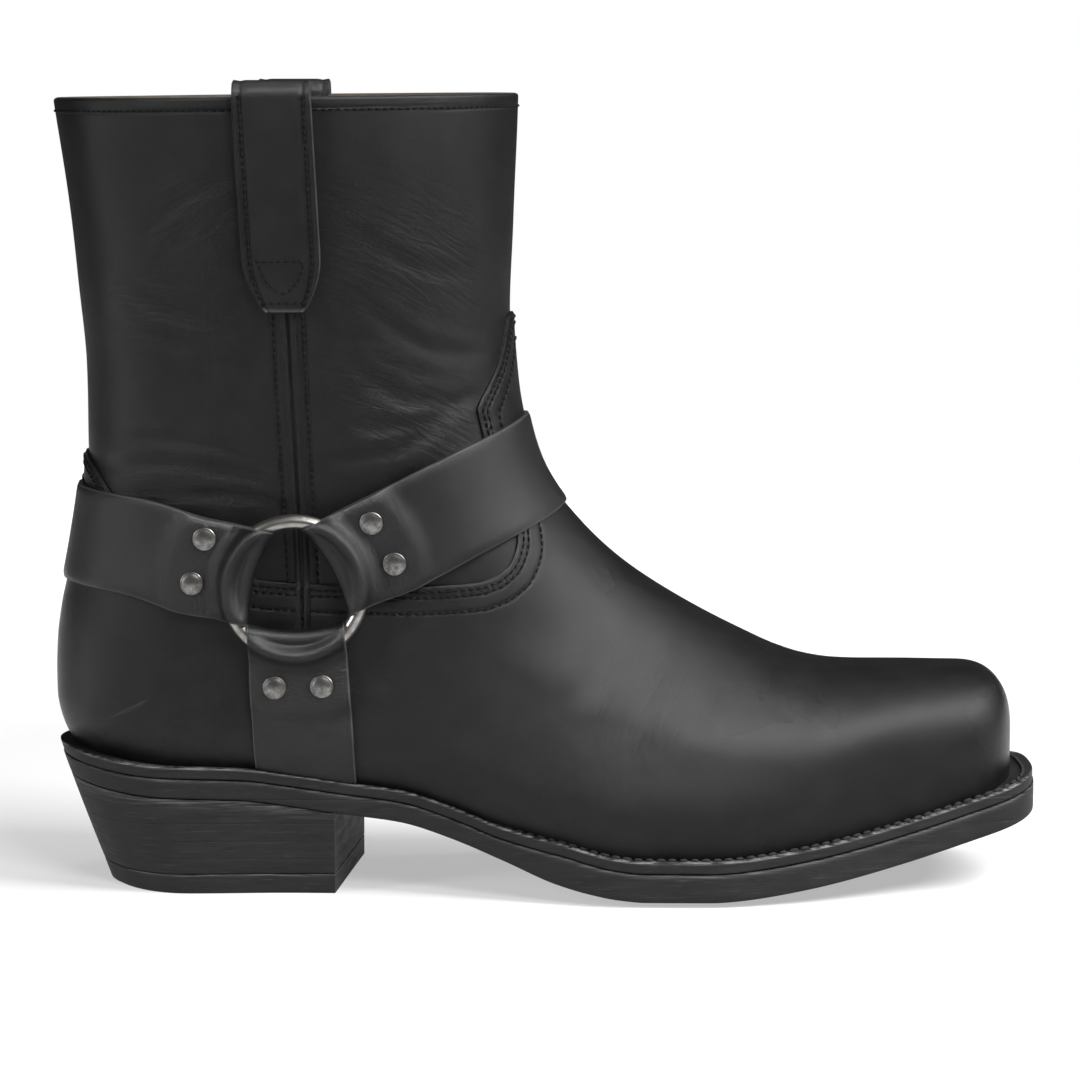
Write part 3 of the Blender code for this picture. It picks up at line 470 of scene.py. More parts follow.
def folds(x, z, side):
    """Height of the folds at side-view points of one side, in metres."""
    height = np.zeros(np.shape(x))
    for fold_side, a0, h0, a1, h1, bow, width, depth in FOLDS:
        if fold_side != side:
            continue
        ends = np.array([place(a0, h0), place(a1, h1)])
        chord = ends[1] - ends[0]
        across = np.array([-chord[1], chord[0]]) / np.hypot(*chord)
        t = np.linspace(0, 1, 9)[:, None]
        line = ends[0] + chord * t + across * bow * MM * 4 * t * (1 - t)
        distance, sign, run = line_distance(x, z, line)
        u = distance * sign / (width * MM / 2)
        shape = -np.exp(-u**2) + 0.55 * np.exp(-(u - 1.7)**2) + 0.4 * np.exp(-(u + 1.7)**2)
        height += depth * MM * shape * np.sin(np.pi * np.clip(run, 0, 1))**0.8
    return height


def relief(grid):
    """Folds and a slight unevenness of the leather for a grid of form points."""
    x, y, z = grid[..., 0], grid[..., 1], grid[..., 2]
    middle = ridge_line(x, z)
    fade = ease(np.abs(y - middle) / 0.012)
    height = np.where(y < middle, folds(x, z, -1), folds(x, z, 1)) * fade
    wave = np.sin(61 * x + 23 * z + 1.3 * np.sin(47 * z)) * np.sin(53 * z - 31 * y + 0.8)
    return height + 0.00035 * wave * ease((z - 0.10) / 0.05)


form_relief = relief(form_grid)
print("folds", len(FOLDS), "deepest", round(float(form_relief.min() * 1000), 2), "mm")

# %% [markdown]
# Vamp and counter are separate pieces of leather, laid on the shaft and stitched down. The vamp
# ends in a pointed tongue in front of the ankle, the counter in a point at the back. Their edges
# are drawn in side view. Each overlay is cut out of the upper's own surface along that edge, with
# new points exactly on it, and then given a thickness.

# %% Edges of the overlays
OVERLAY = 0.0013
VAMP_EDGE = (
    # along  height above the floor
    (0.4690, 0.9080), (0.4604, 0.8904), (0.4552, 0.8477), (0.4499, 0.8183), (0.4411, 0.7893),
    (0.4325, 0.7635), (0.4305, 0.7558), (0.4335, 0.7355), (0.4368, 0.7112), (0.4486, 0.6650),
    (0.4624, 0.6107), (0.4703, 0.5721), (0.4713, 0.5533), (0.4706, 0.5416), (0.4673, 0.5264),
    (0.4624, 0.5132), (0.4516, 0.5000), (0.4368, 0.4919), (0.4190, 0.4893), (0.4013, 0.4878),
    (0.3813, 0.4863), (0.3458, 0.4858), (0.3061, 0.4873), (0.2588, 0.4900),
)
COUNTER_EDGE = (
    # along  height above the floor
    (0.0330, 0.6830), (0.0496, 0.6609), (0.0654, 0.6310), (0.0916, 0.5822), (0.1323, 0.5330),
    (0.1823, 0.5051), (0.2220, 0.4949), (0.2588, 0.4900),
)
SEAM = (
    # along  height above the floor
    (0.2360, 1.2200), (0.2420, 1.0500), (0.2483, 0.9157), (0.2502, 0.8228), (0.2532, 0.7157),
    (0.2555, 0.6147), (0.2581, 0.5289), (0.2588, 0.4900), (0.2591, 0.4400), (0.2592, 0.2036),
)


print("edge points", len(VAMP_EDGE), len(COUNTER_EDGE), len(SEAM))


# %% Fields of the overlays
def drawn(rows, count):
    return resample(np.array([place(*row) for row in rows]), count)


def inside_polygon(x, z, polygon):
    """True where side-view points lie inside a closed polygon."""
    inside = np.zeros(np.shape(x), bool)
    for (x0, z0), (x1, z1) in zip(polygon, np.roll(polygon, -1, axis=0)):
        crosses = (z0 > z) != (z1 > z)
        with np.errstate(divide="ignore", invalid="ignore"):
            at = x0 + (z - z0) * (x1 - x0) / (z1 - z0 if z1 != z0 else 1e-12)
        inside ^= crosses & (x < at)
    return inside


def space_distance(points, line):
    """Distance from points to a line of many short steps, in space."""
    flat = points.reshape(-1, 3)
    best = np.empty(len(flat))
    for low in range(0, len(flat), 4000):
        gap = flat[low:low + 4000, None, :] - line[None]
        best[low:low + 4000] = np.sqrt((gap**2).sum(axis=2).min(axis=1))
    return best.reshape(points.shape[:-1])


def overlay_field(rows, beyond):
    """Distance of every upper point inside (+) or outside (-) an overlay's edge."""
    line = drawn(rows, 420)
    polygon = np.concatenate([line, np.array(beyond)])
    edges = np.concatenate([on_form(line, side)[0] for side in (-1, 1)])
    inside = inside_polygon(form_grid[..., 0], form_grid[..., 2], polygon)
    return np.where(inside, 1, -1) * space_distance(form_grid, edges)


seam_foot = place(*SEAM[-1])
vamp_beyond = [(seam_foot[0], -0.05), (0.40, -0.05), (0.40, 0.30), (0.0952, place(0, 0.9120)[1])]
counter_beyond = [(seam_foot[0], -0.05), (-0.20, -0.05), (-0.20, 0.16), (-0.0460, place(0, 0.6860)[1])]
vamp_field = overlay_field(VAMP_EDGE, vamp_beyond)
counter_field = overlay_field(COUNTER_EDGE, counter_beyond)
print("overlay points", int((vamp_field > 0).sum()), int((counter_field > 0).sum()))


# %% [markdown]
# Mesh helpers. A mesh from a grid keeps its rows, so it can be closed by hand. Normals are
# recalculated after coincident points are merged, because a strip that was built backwards would
# otherwise be dark.


# %% Mesh helpers
def grid_faces(rows, columns, offset=0):
    i, j = np.meshgrid(np.arange(rows - 1), np.arange(columns - 1), indexing="ij")
    a = (offset + i * columns + j).ravel()
    return np.stack([a, a + 1, a + columns + 1, a + columns], axis=1)


def add_piece(name, vertices, faces, materials, merge=0.00001, fields=None, kinds=None, sharp=40):
    """One object at the origin. fields are numbers per point, kinds the material of each face."""
    mesh = bpy.data.meshes.new(name)
    mesh.from_pydata(np.asarray(vertices, float).tolist(), [], [list(map(int, f)) for f in faces])
    for material in materials:
        mesh.materials.append(material)
    if kinds is not None:
        mesh.polygons.foreach_set("material_index", np.asarray(kinds, np.int32))
    for key, values in (fields or {}).items():
        layer = mesh.attributes.new(key, "FLOAT", "POINT")
        layer.data.foreach_set("value", np.asarray(values, np.float32).ravel())
    form = bmesh.new()
    form.from_mesh(mesh)
    bmesh.ops.remove_doubles(form, verts=form.verts, dist=merge)
    bmesh.ops.dissolve_degenerate(form, edges=form.edges, dist=merge / 4)
    bmesh.ops.recalc_face_normals(form, faces=form.faces)
    form.to_mesh(mesh)
    form.free()
    mesh.shade_smooth()
    mesh.set_sharp_from_angle(angle=math.radians(sharp))
    piece = bpy.data.objects.new(name, mesh)
    bpy.context.scene.collection.objects.link(piece)
    return piece


def settle(piece, slot, *nodes):
    """The piece rides with the boot and stands for CAD nodes. slot is not used."""
    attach(piece, "root")
    if nodes:
        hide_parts(*nodes)
    print(piece.name, len(piece.data.polygons), "faces")


# %% A closed slab
def slab(top, bottom):
    """Vertices and faces of a closed slab between two grids of the same size."""
    rows, columns = len(top), len(top[0])
    vertices = np.concatenate([np.reshape(top, (-1, 3)), np.reshape(bottom, (-1, 3))])
    low = rows * columns
    faces = [tuple(f) for f in grid_faces(rows, columns)]
    faces += [tuple(f)[::-1] for f in grid_faces(rows, columns, low)]
    ring = [j for j in range(columns)] + [i * columns + columns - 1 for i in range(1, rows)]
    ring += [(rows - 1) * columns + j for j in range(columns - 2, -1, -1)]
    ring += [i * columns for i in range(rows - 2, 0, -1)]
    for a, b in zip(ring, ring[1:] + ring[:1]):
        faces.append((a, a + low, b + low, b))
    return vertices, faces


print("slab of four points:", len(slab(np.zeros((2, 2, 3)), np.ones((2, 2, 3)))[1]), "faces")


# %% Cutting a surface along a field
def cut(vertices, faces, values, fields):
    """Keep the part of a surface where values are positive, with new points on the edge."""
    keep, new, made = [], [], {}
    points = list(vertices)
    extra = {key: list(field) for key, field in fields.items()}
    index = {}

    def kept(i):
        if i not in index:
            index[i] = len(keep)
            keep.append(i)
        return index[i]

    def crossing(i, j):
        key = (min(i, j), max(i, j))
        if key not in made:
            t = values[i] / (values[i] - values[j])
            points.append(mix(vertices[i], vertices[j], t))
            for field in extra.values():
                field.append(mix(field[i], field[j], t))
            made[key] = len(points) - 1
        return made[key]

    for face in faces:
        signs = [values[i] > 0 for i in face]
        if not any(signs):
            continue
        loop = []
        for k, i in enumerate(face):
            j = face[(k + 1) % len(face)]
            if signs[k]:
                loop.append(i)
            if signs[k] != signs[(k + 1) % len(face)]:
                loop.append(crossing(i, j))
        if len(loop) > 2:
            new.append([kept(i) for i in loop])
    chosen = {key: np.array([field[i] for i in keep]) for key, field in extra.items()}
    return np.array([points[i] for i in keep]), new, chosen


square = np.array([(0, 0, 0), (1, 0, 0), (1, 1, 0), (0, 1, 0)], float)
kept_half = cut(square, [(0, 1, 2, 3)], np.array([1.0, -1.0, -1.0, 1.0]), {})[0]
print("half a square keeps", len(kept_half), "points")


# %% Lines at one level of a field
def level_line(values, level):
    """The longest line on the upper's grid where a field has a level, as row and column places."""
    above = values > level
    links = {}

    def edge_point(a, b):
        return (min(a, b), max(a, b))

    mixed = np.maximum.reduce([above[:-1, :-1] != above[1:, :-1], above[:-1, :-1] != above[:-1, 1:],
                               above[1:, 1:] != above[1:, :-1]])
    for i, j in zip(*np.nonzero(mixed)):
        corners = [(i, j), (i, j + 1), (i + 1, j + 1), (i + 1, j)]
        edges = zip(corners, corners[1:] + corners[:1])
        crossed = [edge_point(a, b) for a, b in edges if above[a] != above[b]]
        for a, b in zip(crossed[::2], crossed[1::2]):
            links.setdefault(a, []).append(b)
            links.setdefault(b, []).append(a)
    lines = []
    while links:
        ends = [key for key, value in links.items() if len(value) == 1]
        here = min(ends) if ends else min(links)
        line = [here]
        while links.get(here):
            there = links[here].pop()
            links[there].remove(here)
            if not links[here]:
                del links[here]
            here = there
            line.append(here)
        links.pop(here, None)
        lines.append(line)
    line = max(lines, key=len)
    places = []
    for a, b in line:
        t = (level - values[a]) / (values[b] - values[a])
        places.append(mix(np.array(a, float), np.array(b, float), t))
    return np.array(places)


def read_grid(grid, places):
    """Values of a grid at fractional rows and columns."""
    i = np.clip(np.floor(places[:, 0]).astype(int), 0, grid.shape[0] - 2)
    j = np.clip(np.floor(places[:, 1]).astype(int), 0, grid.shape[1] - 2)
    u, v = places[:, 0] - i, places[:, 1] - j
    if grid.ndim == 3:
        u, v = u[:, None], v[:, None]
    return mix(mix(grid[i, j], grid[i, j + 1], v), mix(grid[i + 1, j], grid[i + 1, j + 1], v), u)


print("between four values", read_grid(np.arange(4.0).reshape(2, 2), np.array([[0.5, 0.5]])))

# %% [markdown]
# Materials. Black leather is nearly black in colour, and all that is seen of it is gloss. So its
# look is made with roughness and bump: fine pebbles, fine wrinkles and a soft unevenness. All
# textures read Object coordinates in metres, so a noise of scale 130 changes about every 8 mm. The
# pebbles' places are multiplied by a fine noise, which makes them uneven and very small.


# %% Node helpers
def new_material(name):
    material = bpy.data.materials.new(name)
    material.use_nodes = True
    return material, material.node_tree, material.node_tree.nodes["Principled BSDF"]


def node(tree, kind, inputs=None, **settings):
    item = tree.nodes.new(kind)
    for key, value in settings.items():
        setattr(item, key, value)
    for key, value in (inputs or {}).items():
        if isinstance(value, bpy.types.NodeSocket):
            tree.links.new(value, item.inputs[key])
        else:
            item.inputs[key].default_value = value
    return item


def calc(tree, operation, a, b=0.0, c=0.0):
    item = tree.nodes.new("ShaderNodeMath")
    item.operation = operation
    for k, value in enumerate((a, b, c)):
        if isinstance(value, bpy.types.NodeSocket):
            tree.links.new(value, item.inputs[k])
        else:
            item.inputs[k].default_value = value
    return item.outputs[0]


def ramp(tree, value, low, high, out_low, out_high):
    item = node(tree, "ShaderNodeMapRange", {"Value": value, "From Min": low, "From Max": high,
                                             "To Min": out_low, "To Max": out_high})
    return item.outputs[0]


def blend_colour(tree, factor, first, second):
    item = tree.nodes.new("ShaderNodeMix")
    item.data_type = "RGBA"
    for socket, value in ((item.inputs[0], factor), (item.inputs[6], first), (item.inputs[7], second)):
        if isinstance(value, bpy.types.NodeSocket):
            tree.links.new(value, socket)
        else:
            socket.default_value = value if isinstance(value, float) else (*value, 1.0)
    return item.outputs[2]


def noise(tree, place_socket, scale, detail=2.0, roughness=0.5, distortion=0.0):
    return node(tree, "ShaderNodeTexNoise", {"Vector": place_socket, "Scale": scale, "Detail": detail,
                                             "Roughness": roughness, "Distortion": distortion}).outputs[0]


def stored(tree, name):
    """A number that the points of the mesh carry."""
    return node(tree, "ShaderNodeAttribute", attribute_name=name).outputs["Fac"]


def bumped(tree, layers):
    """Bump nodes in a chain. Each layer is a height from 0 to 1 and its depth in metres."""
    normal = None
    for height, depth in layers:
        item = node(tree, "ShaderNodeBump", {"Strength": 1.0, "Distance": depth, "Height": height})
        if normal is not None:
            tree.links.new(normal, item.inputs["Normal"])
        normal = item.outputs[0]
    return normal


def stretched(tree, place_socket, scale, turn=(0, 0, 0)):
    return node(tree, "ShaderNodeMapping", {"Vector": place_socket, "Scale": scale,
                                            "Rotation": turn}).outputs[0]

print("materials before this step", len(bpy.data.materials))

# %% [markdown]
# One function makes upper, strap, trim and lining leather, because they differ only in tone, gloss
# and grain. Numbers stored on the mesh tell it where a stitch row presses in, where an edge is worn
# bare and where wrinkles run. A painted picture could do the same, but it would blur close up.


# %% Leather
def leather(name, dark, light, gloss, pebble=900.0, grain=0.000020, fields=(), shine=0.37):
    """Black leather. fields may name: row (distance to a stitch row), wear (bare edge), crease."""
    material, tree, shader = new_material(name)
    spot = tree.nodes.new("ShaderNodeTexCoord").outputs["Object"]
    cloud = noise(tree, spot, 22.0, 3.0)
    patch = noise(tree, spot, 130.0, 4.0, 0.6)
    stir = node(tree, "ShaderNodeTexNoise", {"Vector": spot, "Scale": 900.0, "Detail": 1.0}).outputs[1]
    shift = node(tree, "ShaderNodeVectorMath", {0: stir, 1: (0.0005, 0.0005, 0.0005)},
                 operation="MULTIPLY").outputs[0]
    wobble = node(tree, "ShaderNodeVectorMath", {0: spot, 1: stir, 2: shift}, operation="MULTIPLY_ADD")
    cells = node(tree, "ShaderNodeTexVoronoi", {"Vector": wobble.outputs[0], "Scale": pebble},
                 feature="DISTANCE_TO_EDGE")
    pebbles = ramp(tree, cells.outputs[0], 0.0, 0.32, 0.0, 1.0)
    lines = noise(tree, stretched(tree, spot, (420.0, 420.0, 1150.0), (0.0, 0.5, 0.0)), 1.0, 3.0, 0.6, 0.6)
    fine = ramp(tree, lines, 0.34, 0.52, 0.0, 1.0)
    layers = [(cloud, 0.0008), (fine, 0.000005), (pebbles, grain)]
    colour = blend_colour(tree, ramp(tree, patch, 0.35, 0.7, 0.0, 1.0), dark, light)
    rough = ramp(tree, cloud, 0.3, 0.7, gloss - 0.05, gloss + 0.05)
    if "row" in fields:
        gap = calc(tree, "DIVIDE", stored(tree, "row"), 0.75)
        groove = calc(tree, "EXPONENT", calc(tree, "MULTIPLY", calc(tree, "POWER", gap, 2.0), -1.0))
        layers.insert(1, (calc(tree, "MULTIPLY", groove, -1.0), 0.00028))
        # The groove's colour is pulled toward one flat dark tone: painted shade in the stitch groove.
        colour = blend_colour(tree, calc(tree, "MULTIPLY", groove, 0.5), colour, (0.004, 0.004, 0.004))
    if "crease" in fields:
        flow = node(tree, "ShaderNodeCombineXYZ", {0: stored(tree, "crease_across"),
                                                   1: stored(tree, "crease_along"), 2: 0.0})
        ripple = ramp(tree, noise(tree, flow.outputs[0], 1.0, 2.5, 0.55, 0.8), 0.35, 0.62, 0.0, 1.0)
        layers.insert(1, (calc(tree, "MULTIPLY", ripple, stored(tree, "crease")), 0.00007))
    if "wear" in fields:
        wear = stored(tree, "wear")
        bare = calc(tree, "MULTIPLY", wear, ramp(tree, patch, 0.3, 0.6, 0.5, 1.0))
        colour = blend_colour(tree, bare, colour, (0.055, 0.053, 0.050))
        rough = calc(tree, "MULTIPLY_ADD", wear, 0.12, rough)
    tree.links.new(colour, shader.inputs["Base Color"])
    tree.links.new(rough, shader.inputs["Roughness"])
    tree.links.new(bumped(tree, layers), shader.inputs["Normal"])
    tree.links.new(ramp(tree, cells.outputs[0], 0.02, 0.30, 0.35 * shine, shine),
                   shader.inputs["Specular IOR Level"])
    return material


# %% Four leathers
upper_leather = leather("upper_leather", (0.0030, 0.0030, 0.0033), (0.0055, 0.0055, 0.0060), 0.31,
                        fields=("row", "crease"))
strap_leather = leather("strap_leather", (0.0035, 0.0035, 0.0038), (0.0065, 0.0065, 0.0069), 0.33, 900.0,
                        0.000022, fields=("wear", "crease"), shine=0.55)
trim_leather = leather("trim_leather", (0.0032, 0.0032, 0.0035), (0.0060, 0.0060, 0.0065), 0.30, 1000.0,
                       0.000020, fields=("wear", "row"))
lining_leather = leather("lining_leather", (0.030, 0.024, 0.019), (0.048, 0.038, 0.030), 0.62, 1900.0,
                         0.000020)
print("leathers", upper_leather.name, strap_leather.name, trim_leather.name, lining_leather.name)

# %% [markdown]
# The sole's edge is stained, trimmed and scratched along its length. Thread is waxed and twisted,
# and the plating has gone dull. Each is a few noises on a Principled shader, which is enough for
# pieces that are seen small.


# %% Rubber and stacked leather
def sole_edge(name, dark, light, stretch, layer_height, wear_colour):
    """Stained and trimmed edge: fine scratches along it, and faint lines between its layers."""
    material, tree, shader = new_material(name)
    spot = tree.nodes.new("ShaderNodeTexCoord").outputs["Object"]
    scratch = noise(tree, stretched(tree, spot, stretch), 1.0, 4.0, 0.65)
    rub = noise(tree, stretched(tree, spot, (60.0, 60.0, 420.0)), 1.0, 4.0, 0.7)
    pits = noise(tree, spot, 1500.0, 3.0, 0.7)
    cloud = noise(tree, spot, 60.0, 3.0)
    height = node(tree, "ShaderNodeSeparateXYZ", {0: spot}).outputs[2]
    drift = calc(tree, "MULTIPLY_ADD", cloud, 0.0006, height)
    step = calc(tree, "PINGPONG", drift, layer_height / 2)
    joint = ramp(tree, step, 0.0, 0.00022, 1.0, 0.0)
    marks = ramp(tree, scratch, 0.60, 0.74, 0.0, 1.0)
    colour = blend_colour(tree, ramp(tree, rub, 0.35, 0.7, 0.0, 1.0), dark, light)
    colour = blend_colour(tree, calc(tree, "MULTIPLY", marks, 0.35), colour, wear_colour)
    colour = blend_colour(tree, calc(tree, "MULTIPLY", joint, 0.5), colour, (0.005, 0.005, 0.005))
    bare = calc(tree, "MULTIPLY", stored(tree, "wear"), ramp(tree, scratch, 0.42, 0.62, 0.0, 1.0))
    colour = blend_colour(tree, bare, colour, (0.16, 0.155, 0.15))
    tree.links.new(colour, shader.inputs["Base Color"])
    tree.links.new(ramp(tree, rub, 0.3, 0.7, 0.52, 0.72), shader.inputs["Roughness"])
    shader.inputs["Specular IOR Level"].default_value = 0.20
    layers = [(cloud, 0.0003), (scratch, 0.00006), (pits, 0.00003),
              (calc(tree, "MULTIPLY", joint, -1.0), 0.00012)]
    tree.links.new(bumped(tree, layers), shader.inputs["Normal"])
    return material


outsole_rubber = sole_edge("outsole_rubber", (0.0065, 0.0065, 0.0068), (0.0120, 0.0120, 0.0125),
                           (90.0, 90.0, 2600.0), 0.0300, (0.075, 0.075, 0.078))
welt_leather = sole_edge("welt_leather", (0.0060, 0.0060, 0.0060), (0.0120, 0.0118, 0.0115),
                         (120.0, 120.0, 2400.0), 0.0300, (0.080, 0.078, 0.075))
stack_leather = sole_edge("stack_leather", (0.0065, 0.0065, 0.0065), (0.0130, 0.0127, 0.0125),
                          (80.0, 80.0, 2300.0), 0.0056, (0.070, 0.069, 0.067))


print("edges", outsole_rubber.name, welt_leather.name, stack_leather.name)


# %% Thread
def thread(name, colour):
    """Waxed thread: twisted strands seen as fine stripes."""
    material, tree, shader = new_material(name)
    spot = tree.nodes.new("ShaderNodeTexCoord").outputs["Object"]
    strands = node(tree, "ShaderNodeTexWave", {"Vector": spot, "Scale": 700.0, "Distortion": 2.0},
                   bands_direction="DIAGONAL").outputs[1]
    shade = noise(tree, spot, 400.0, 2.0)
    waxed = tuple(2.2 * c for c in colour)
    tree.links.new(blend_colour(tree, shade, colour, waxed), shader.inputs["Base Color"])
    tree.links.new(bumped(tree, [(strands, 0.00005)]), shader.inputs["Normal"])
    shader.inputs["Roughness"].default_value = 0.7
    shader.inputs["Specular IOR Level"].default_value = 0.12
    return material


black_thread = thread("black_thread", (0.0016, 0.0016, 0.0016))
welt_thread = thread("welt_thread", (0.010, 0.0098, 0.0094))


print("threads", black_thread.name, welt_thread.name)


# %% Old nickel
def old_nickel(name, bright, dull):
    """Antique nickel: bright where it is rubbed, dark in its pits and spots."""
    material, tree, shader = new_material(name)
    spot = tree.nodes.new("ShaderNodeTexCoord").outputs["Object"]
    blotch = noise(tree, spot, 520.0, 5.0, 0.7)
    tree.links.new(blend_colour(tree, ramp(tree, blotch, 0.38, 0.66, 0.0, 1.0), dull, bright),
                   shader.inputs["Base Color"])
    tree.links.new(ramp(tree, blotch, 0.35, 0.7, 0.40, 0.26), shader.inputs["Roughness"])
    tree.links.new(bumped(tree, [(blotch, 0.00002)]), shader.inputs["Normal"])
    shader.inputs["Metallic"].default_value = 1.0
    return material


ring_nickel = old_nickel("ring_nickel", (0.40, 0.39, 0.37), (0.22, 0.21, 0.20))
rivet_nickel = old_nickel("rivet_nickel", (0.28, 0.275, 0.265), (0.10, 0.096, 0.09))
print("materials", len(bpy.data.materials))

# %% [markdown]
# Fine wrinkles run in bundles: beside the pull strap, over the straps and across the instep. Each
# bundle is a patch with its own direction. Every point of the upper stores how strongly it is
# wrinkled and its place across and along the bundle, and the material draws lines with that.

# %% Bundles of fine wrinkles
BUNDLES = (
    # side  middle: along height  length  width (mm)  turn (degrees)  strength
    (-1, 0.165, 1.070, 46, 26, 34, 1.0),
    (-1, 0.130, 0.905, 62, 24, -10, 0.9),
    (-1, 0.165, 0.640, 88, 26, -5, 1.2),
    (-1, 0.370, 0.985, 70, 58, -28, 0.9),
    (-1, 0.370, 0.745, 60, 34, -24, 1.3),
    (-1, 0.595, 0.330, 52, 60, 62, 0.7),
    (1, 0.165, 0.660, 88, 30, -5, 1.0),
    (1, 0.150, 1.000, 60, 40, 20, 0.8),
    (1, 0.370, 0.900, 70, 60, -28, 0.9),
    (1, 0.600, 0.330, 52, 60, 62, 0.8),
)


print("wrinkle bundles", len(BUNDLES))


# %% Wrinkles stored on the upper
def wrinkle_fields(grid):
    x, y, z = grid[..., 0], grid[..., 1], grid[..., 2]
    side = np.where(y < ridge_line(x, z), -1, 1)
    mask = np.zeros(np.shape(x))
    across, run = z * 900.0, x * 260.0
    for bundle_side, share, height, length, width, turn, strength in BUNDLES:
        centre = place(share, height)
        c, s = math.cos(math.radians(turn)), math.sin(math.radians(turn))
        dx, dz = x - centre[0], z - centre[1]
        u, v = (c * dx + s * dz) / MM, (-s * dx + c * dz) / MM
        soft = strength * np.exp(-((u / (length / 2))**2 + (v / (width / 2))**2) * 1.1)
        soft = np.where(side == bundle_side, soft, 0)
        stronger = soft > mask
        bow = v + 0.004 * u**2
        across = np.where(stronger, bow * 0.52 + 40 * share, across)
        run = np.where(stronger, u * 0.10 + 7 * height, run)
        mask = np.maximum(mask, soft)
    mask = np.clip(mask, 0.0, 1.3) * ease(np.abs(y - ridge_line(x, z)) / 0.016 - 0.2)
    return {"crease": mask, "crease_across": across, "crease_along": run}


bundle_fields = wrinkle_fields(form_grid)
print("strongest wrinkles", round(float(bundle_fields["crease"].max()), 2))

# %% [markdown]
# Rows of stitches hold the overlays, the collar and the side seam. A row is a line on the upper's
# grid where the distance to an edge has a fixed value, so it follows the edge over the instep
# from one side to the other. The same distances press a groove into the leather in the material,
# and tint it with painted shade.

# %% Rows of stitches on the upper
EDGE_ROWS = (1.7, 3.4, 8.2)
COLLAR_ROW, SEAM_ROW, NO_ROW = 2.9, 4.5, 50.0
THREAD_LIFT = 0.0001
seam_line = drawn(SEAM, 260)
seam_gap = space_distance(form_grid, np.concatenate([on_form(seam_line, side)[0] for side in (-1, 1)]))
collar_gap = collar_height(form_grid[..., 0]) - form_grid[..., 2]


def row_distance():
    """Distance in mm to the nearest row of stitches, for every point of the upper."""
    best = np.full(form_grid.shape[:2], NO_ROW)
    for field in (vamp_field, counter_field):
        for row in EDGE_ROWS:
            best = np.minimum(best, np.abs(field / MM - row))
    best = np.minimum(best, np.abs(collar_gap / MM - COLLAR_ROW))
    shaft = (vamp_field < 0) & (counter_field < 0)
    return np.where(shaft, np.minimum(best, np.abs(seam_gap / MM - SEAM_ROW)), best)


row_field = row_distance()
stitch_paths = []


def on_upper(places, lift):
    """Points and normals on the upper at places of its grid."""
    points = read_grid(form_grid, places)
    normals = read_grid(form_normal, places)
    normals /= np.linalg.norm(normals, axis=1)[:, None]
    height = read_grid(form_relief, places) + lift
    return points + normals * height[:, None], normals


for field in (vamp_field, counter_field):
    for row in EDGE_ROWS:
        stitch_paths.append(on_upper(level_line(field, row * MM), OVERLAY + THREAD_LIFT))
stitch_paths.append(on_upper(level_line(collar_gap, COLLAR_ROW * MM), THREAD_LIFT))
for side in (-1, 1):
    low, high = place(0, 0.492)[1], float(collar_height(SHAFT_MIDDLE)) - 0.004
    for shift in (-SEAM_ROW * MM, SEAM_ROW * MM):
        line = seam_line + np.array([shift, 0])
        line = line[(line[:, 1] > low) & (line[:, 1] < high)]
        points, normals = on_form(line, side)
        stitch_paths.append((points + normals * THREAD_LIFT, normals))
print("stitch rows", len(stitch_paths))

# %% [markdown]
# The stitches are made with Geometry Nodes. The rows come in as lines whose points carry the
# direction that the leather faces. The tree spaces points along each line, puts a short rounded
# stitch on each, turns it along the row and outwards, and realizes the result. A stitch has only a
# few dozen faces, because there are over a thousand.


# %% The stitching tree
STITCH_SEED = 7


def hand_out(tree, put, enter, leave):
    """Realize instances, give them the tree's material and lead them to its output."""
    real = tree.nodes.new("GeometryNodeRealizeInstances")
    tree.links.new(put.outputs[0], real.inputs[0])
    paint = tree.nodes.new("GeometryNodeSetMaterial")
    tree.links.new(real.outputs[0], paint.inputs["Geometry"])
    tree.links.new(enter.outputs["Material"], paint.inputs["Material"])
    tree.links.new(paint.outputs[0], leave.inputs[0])


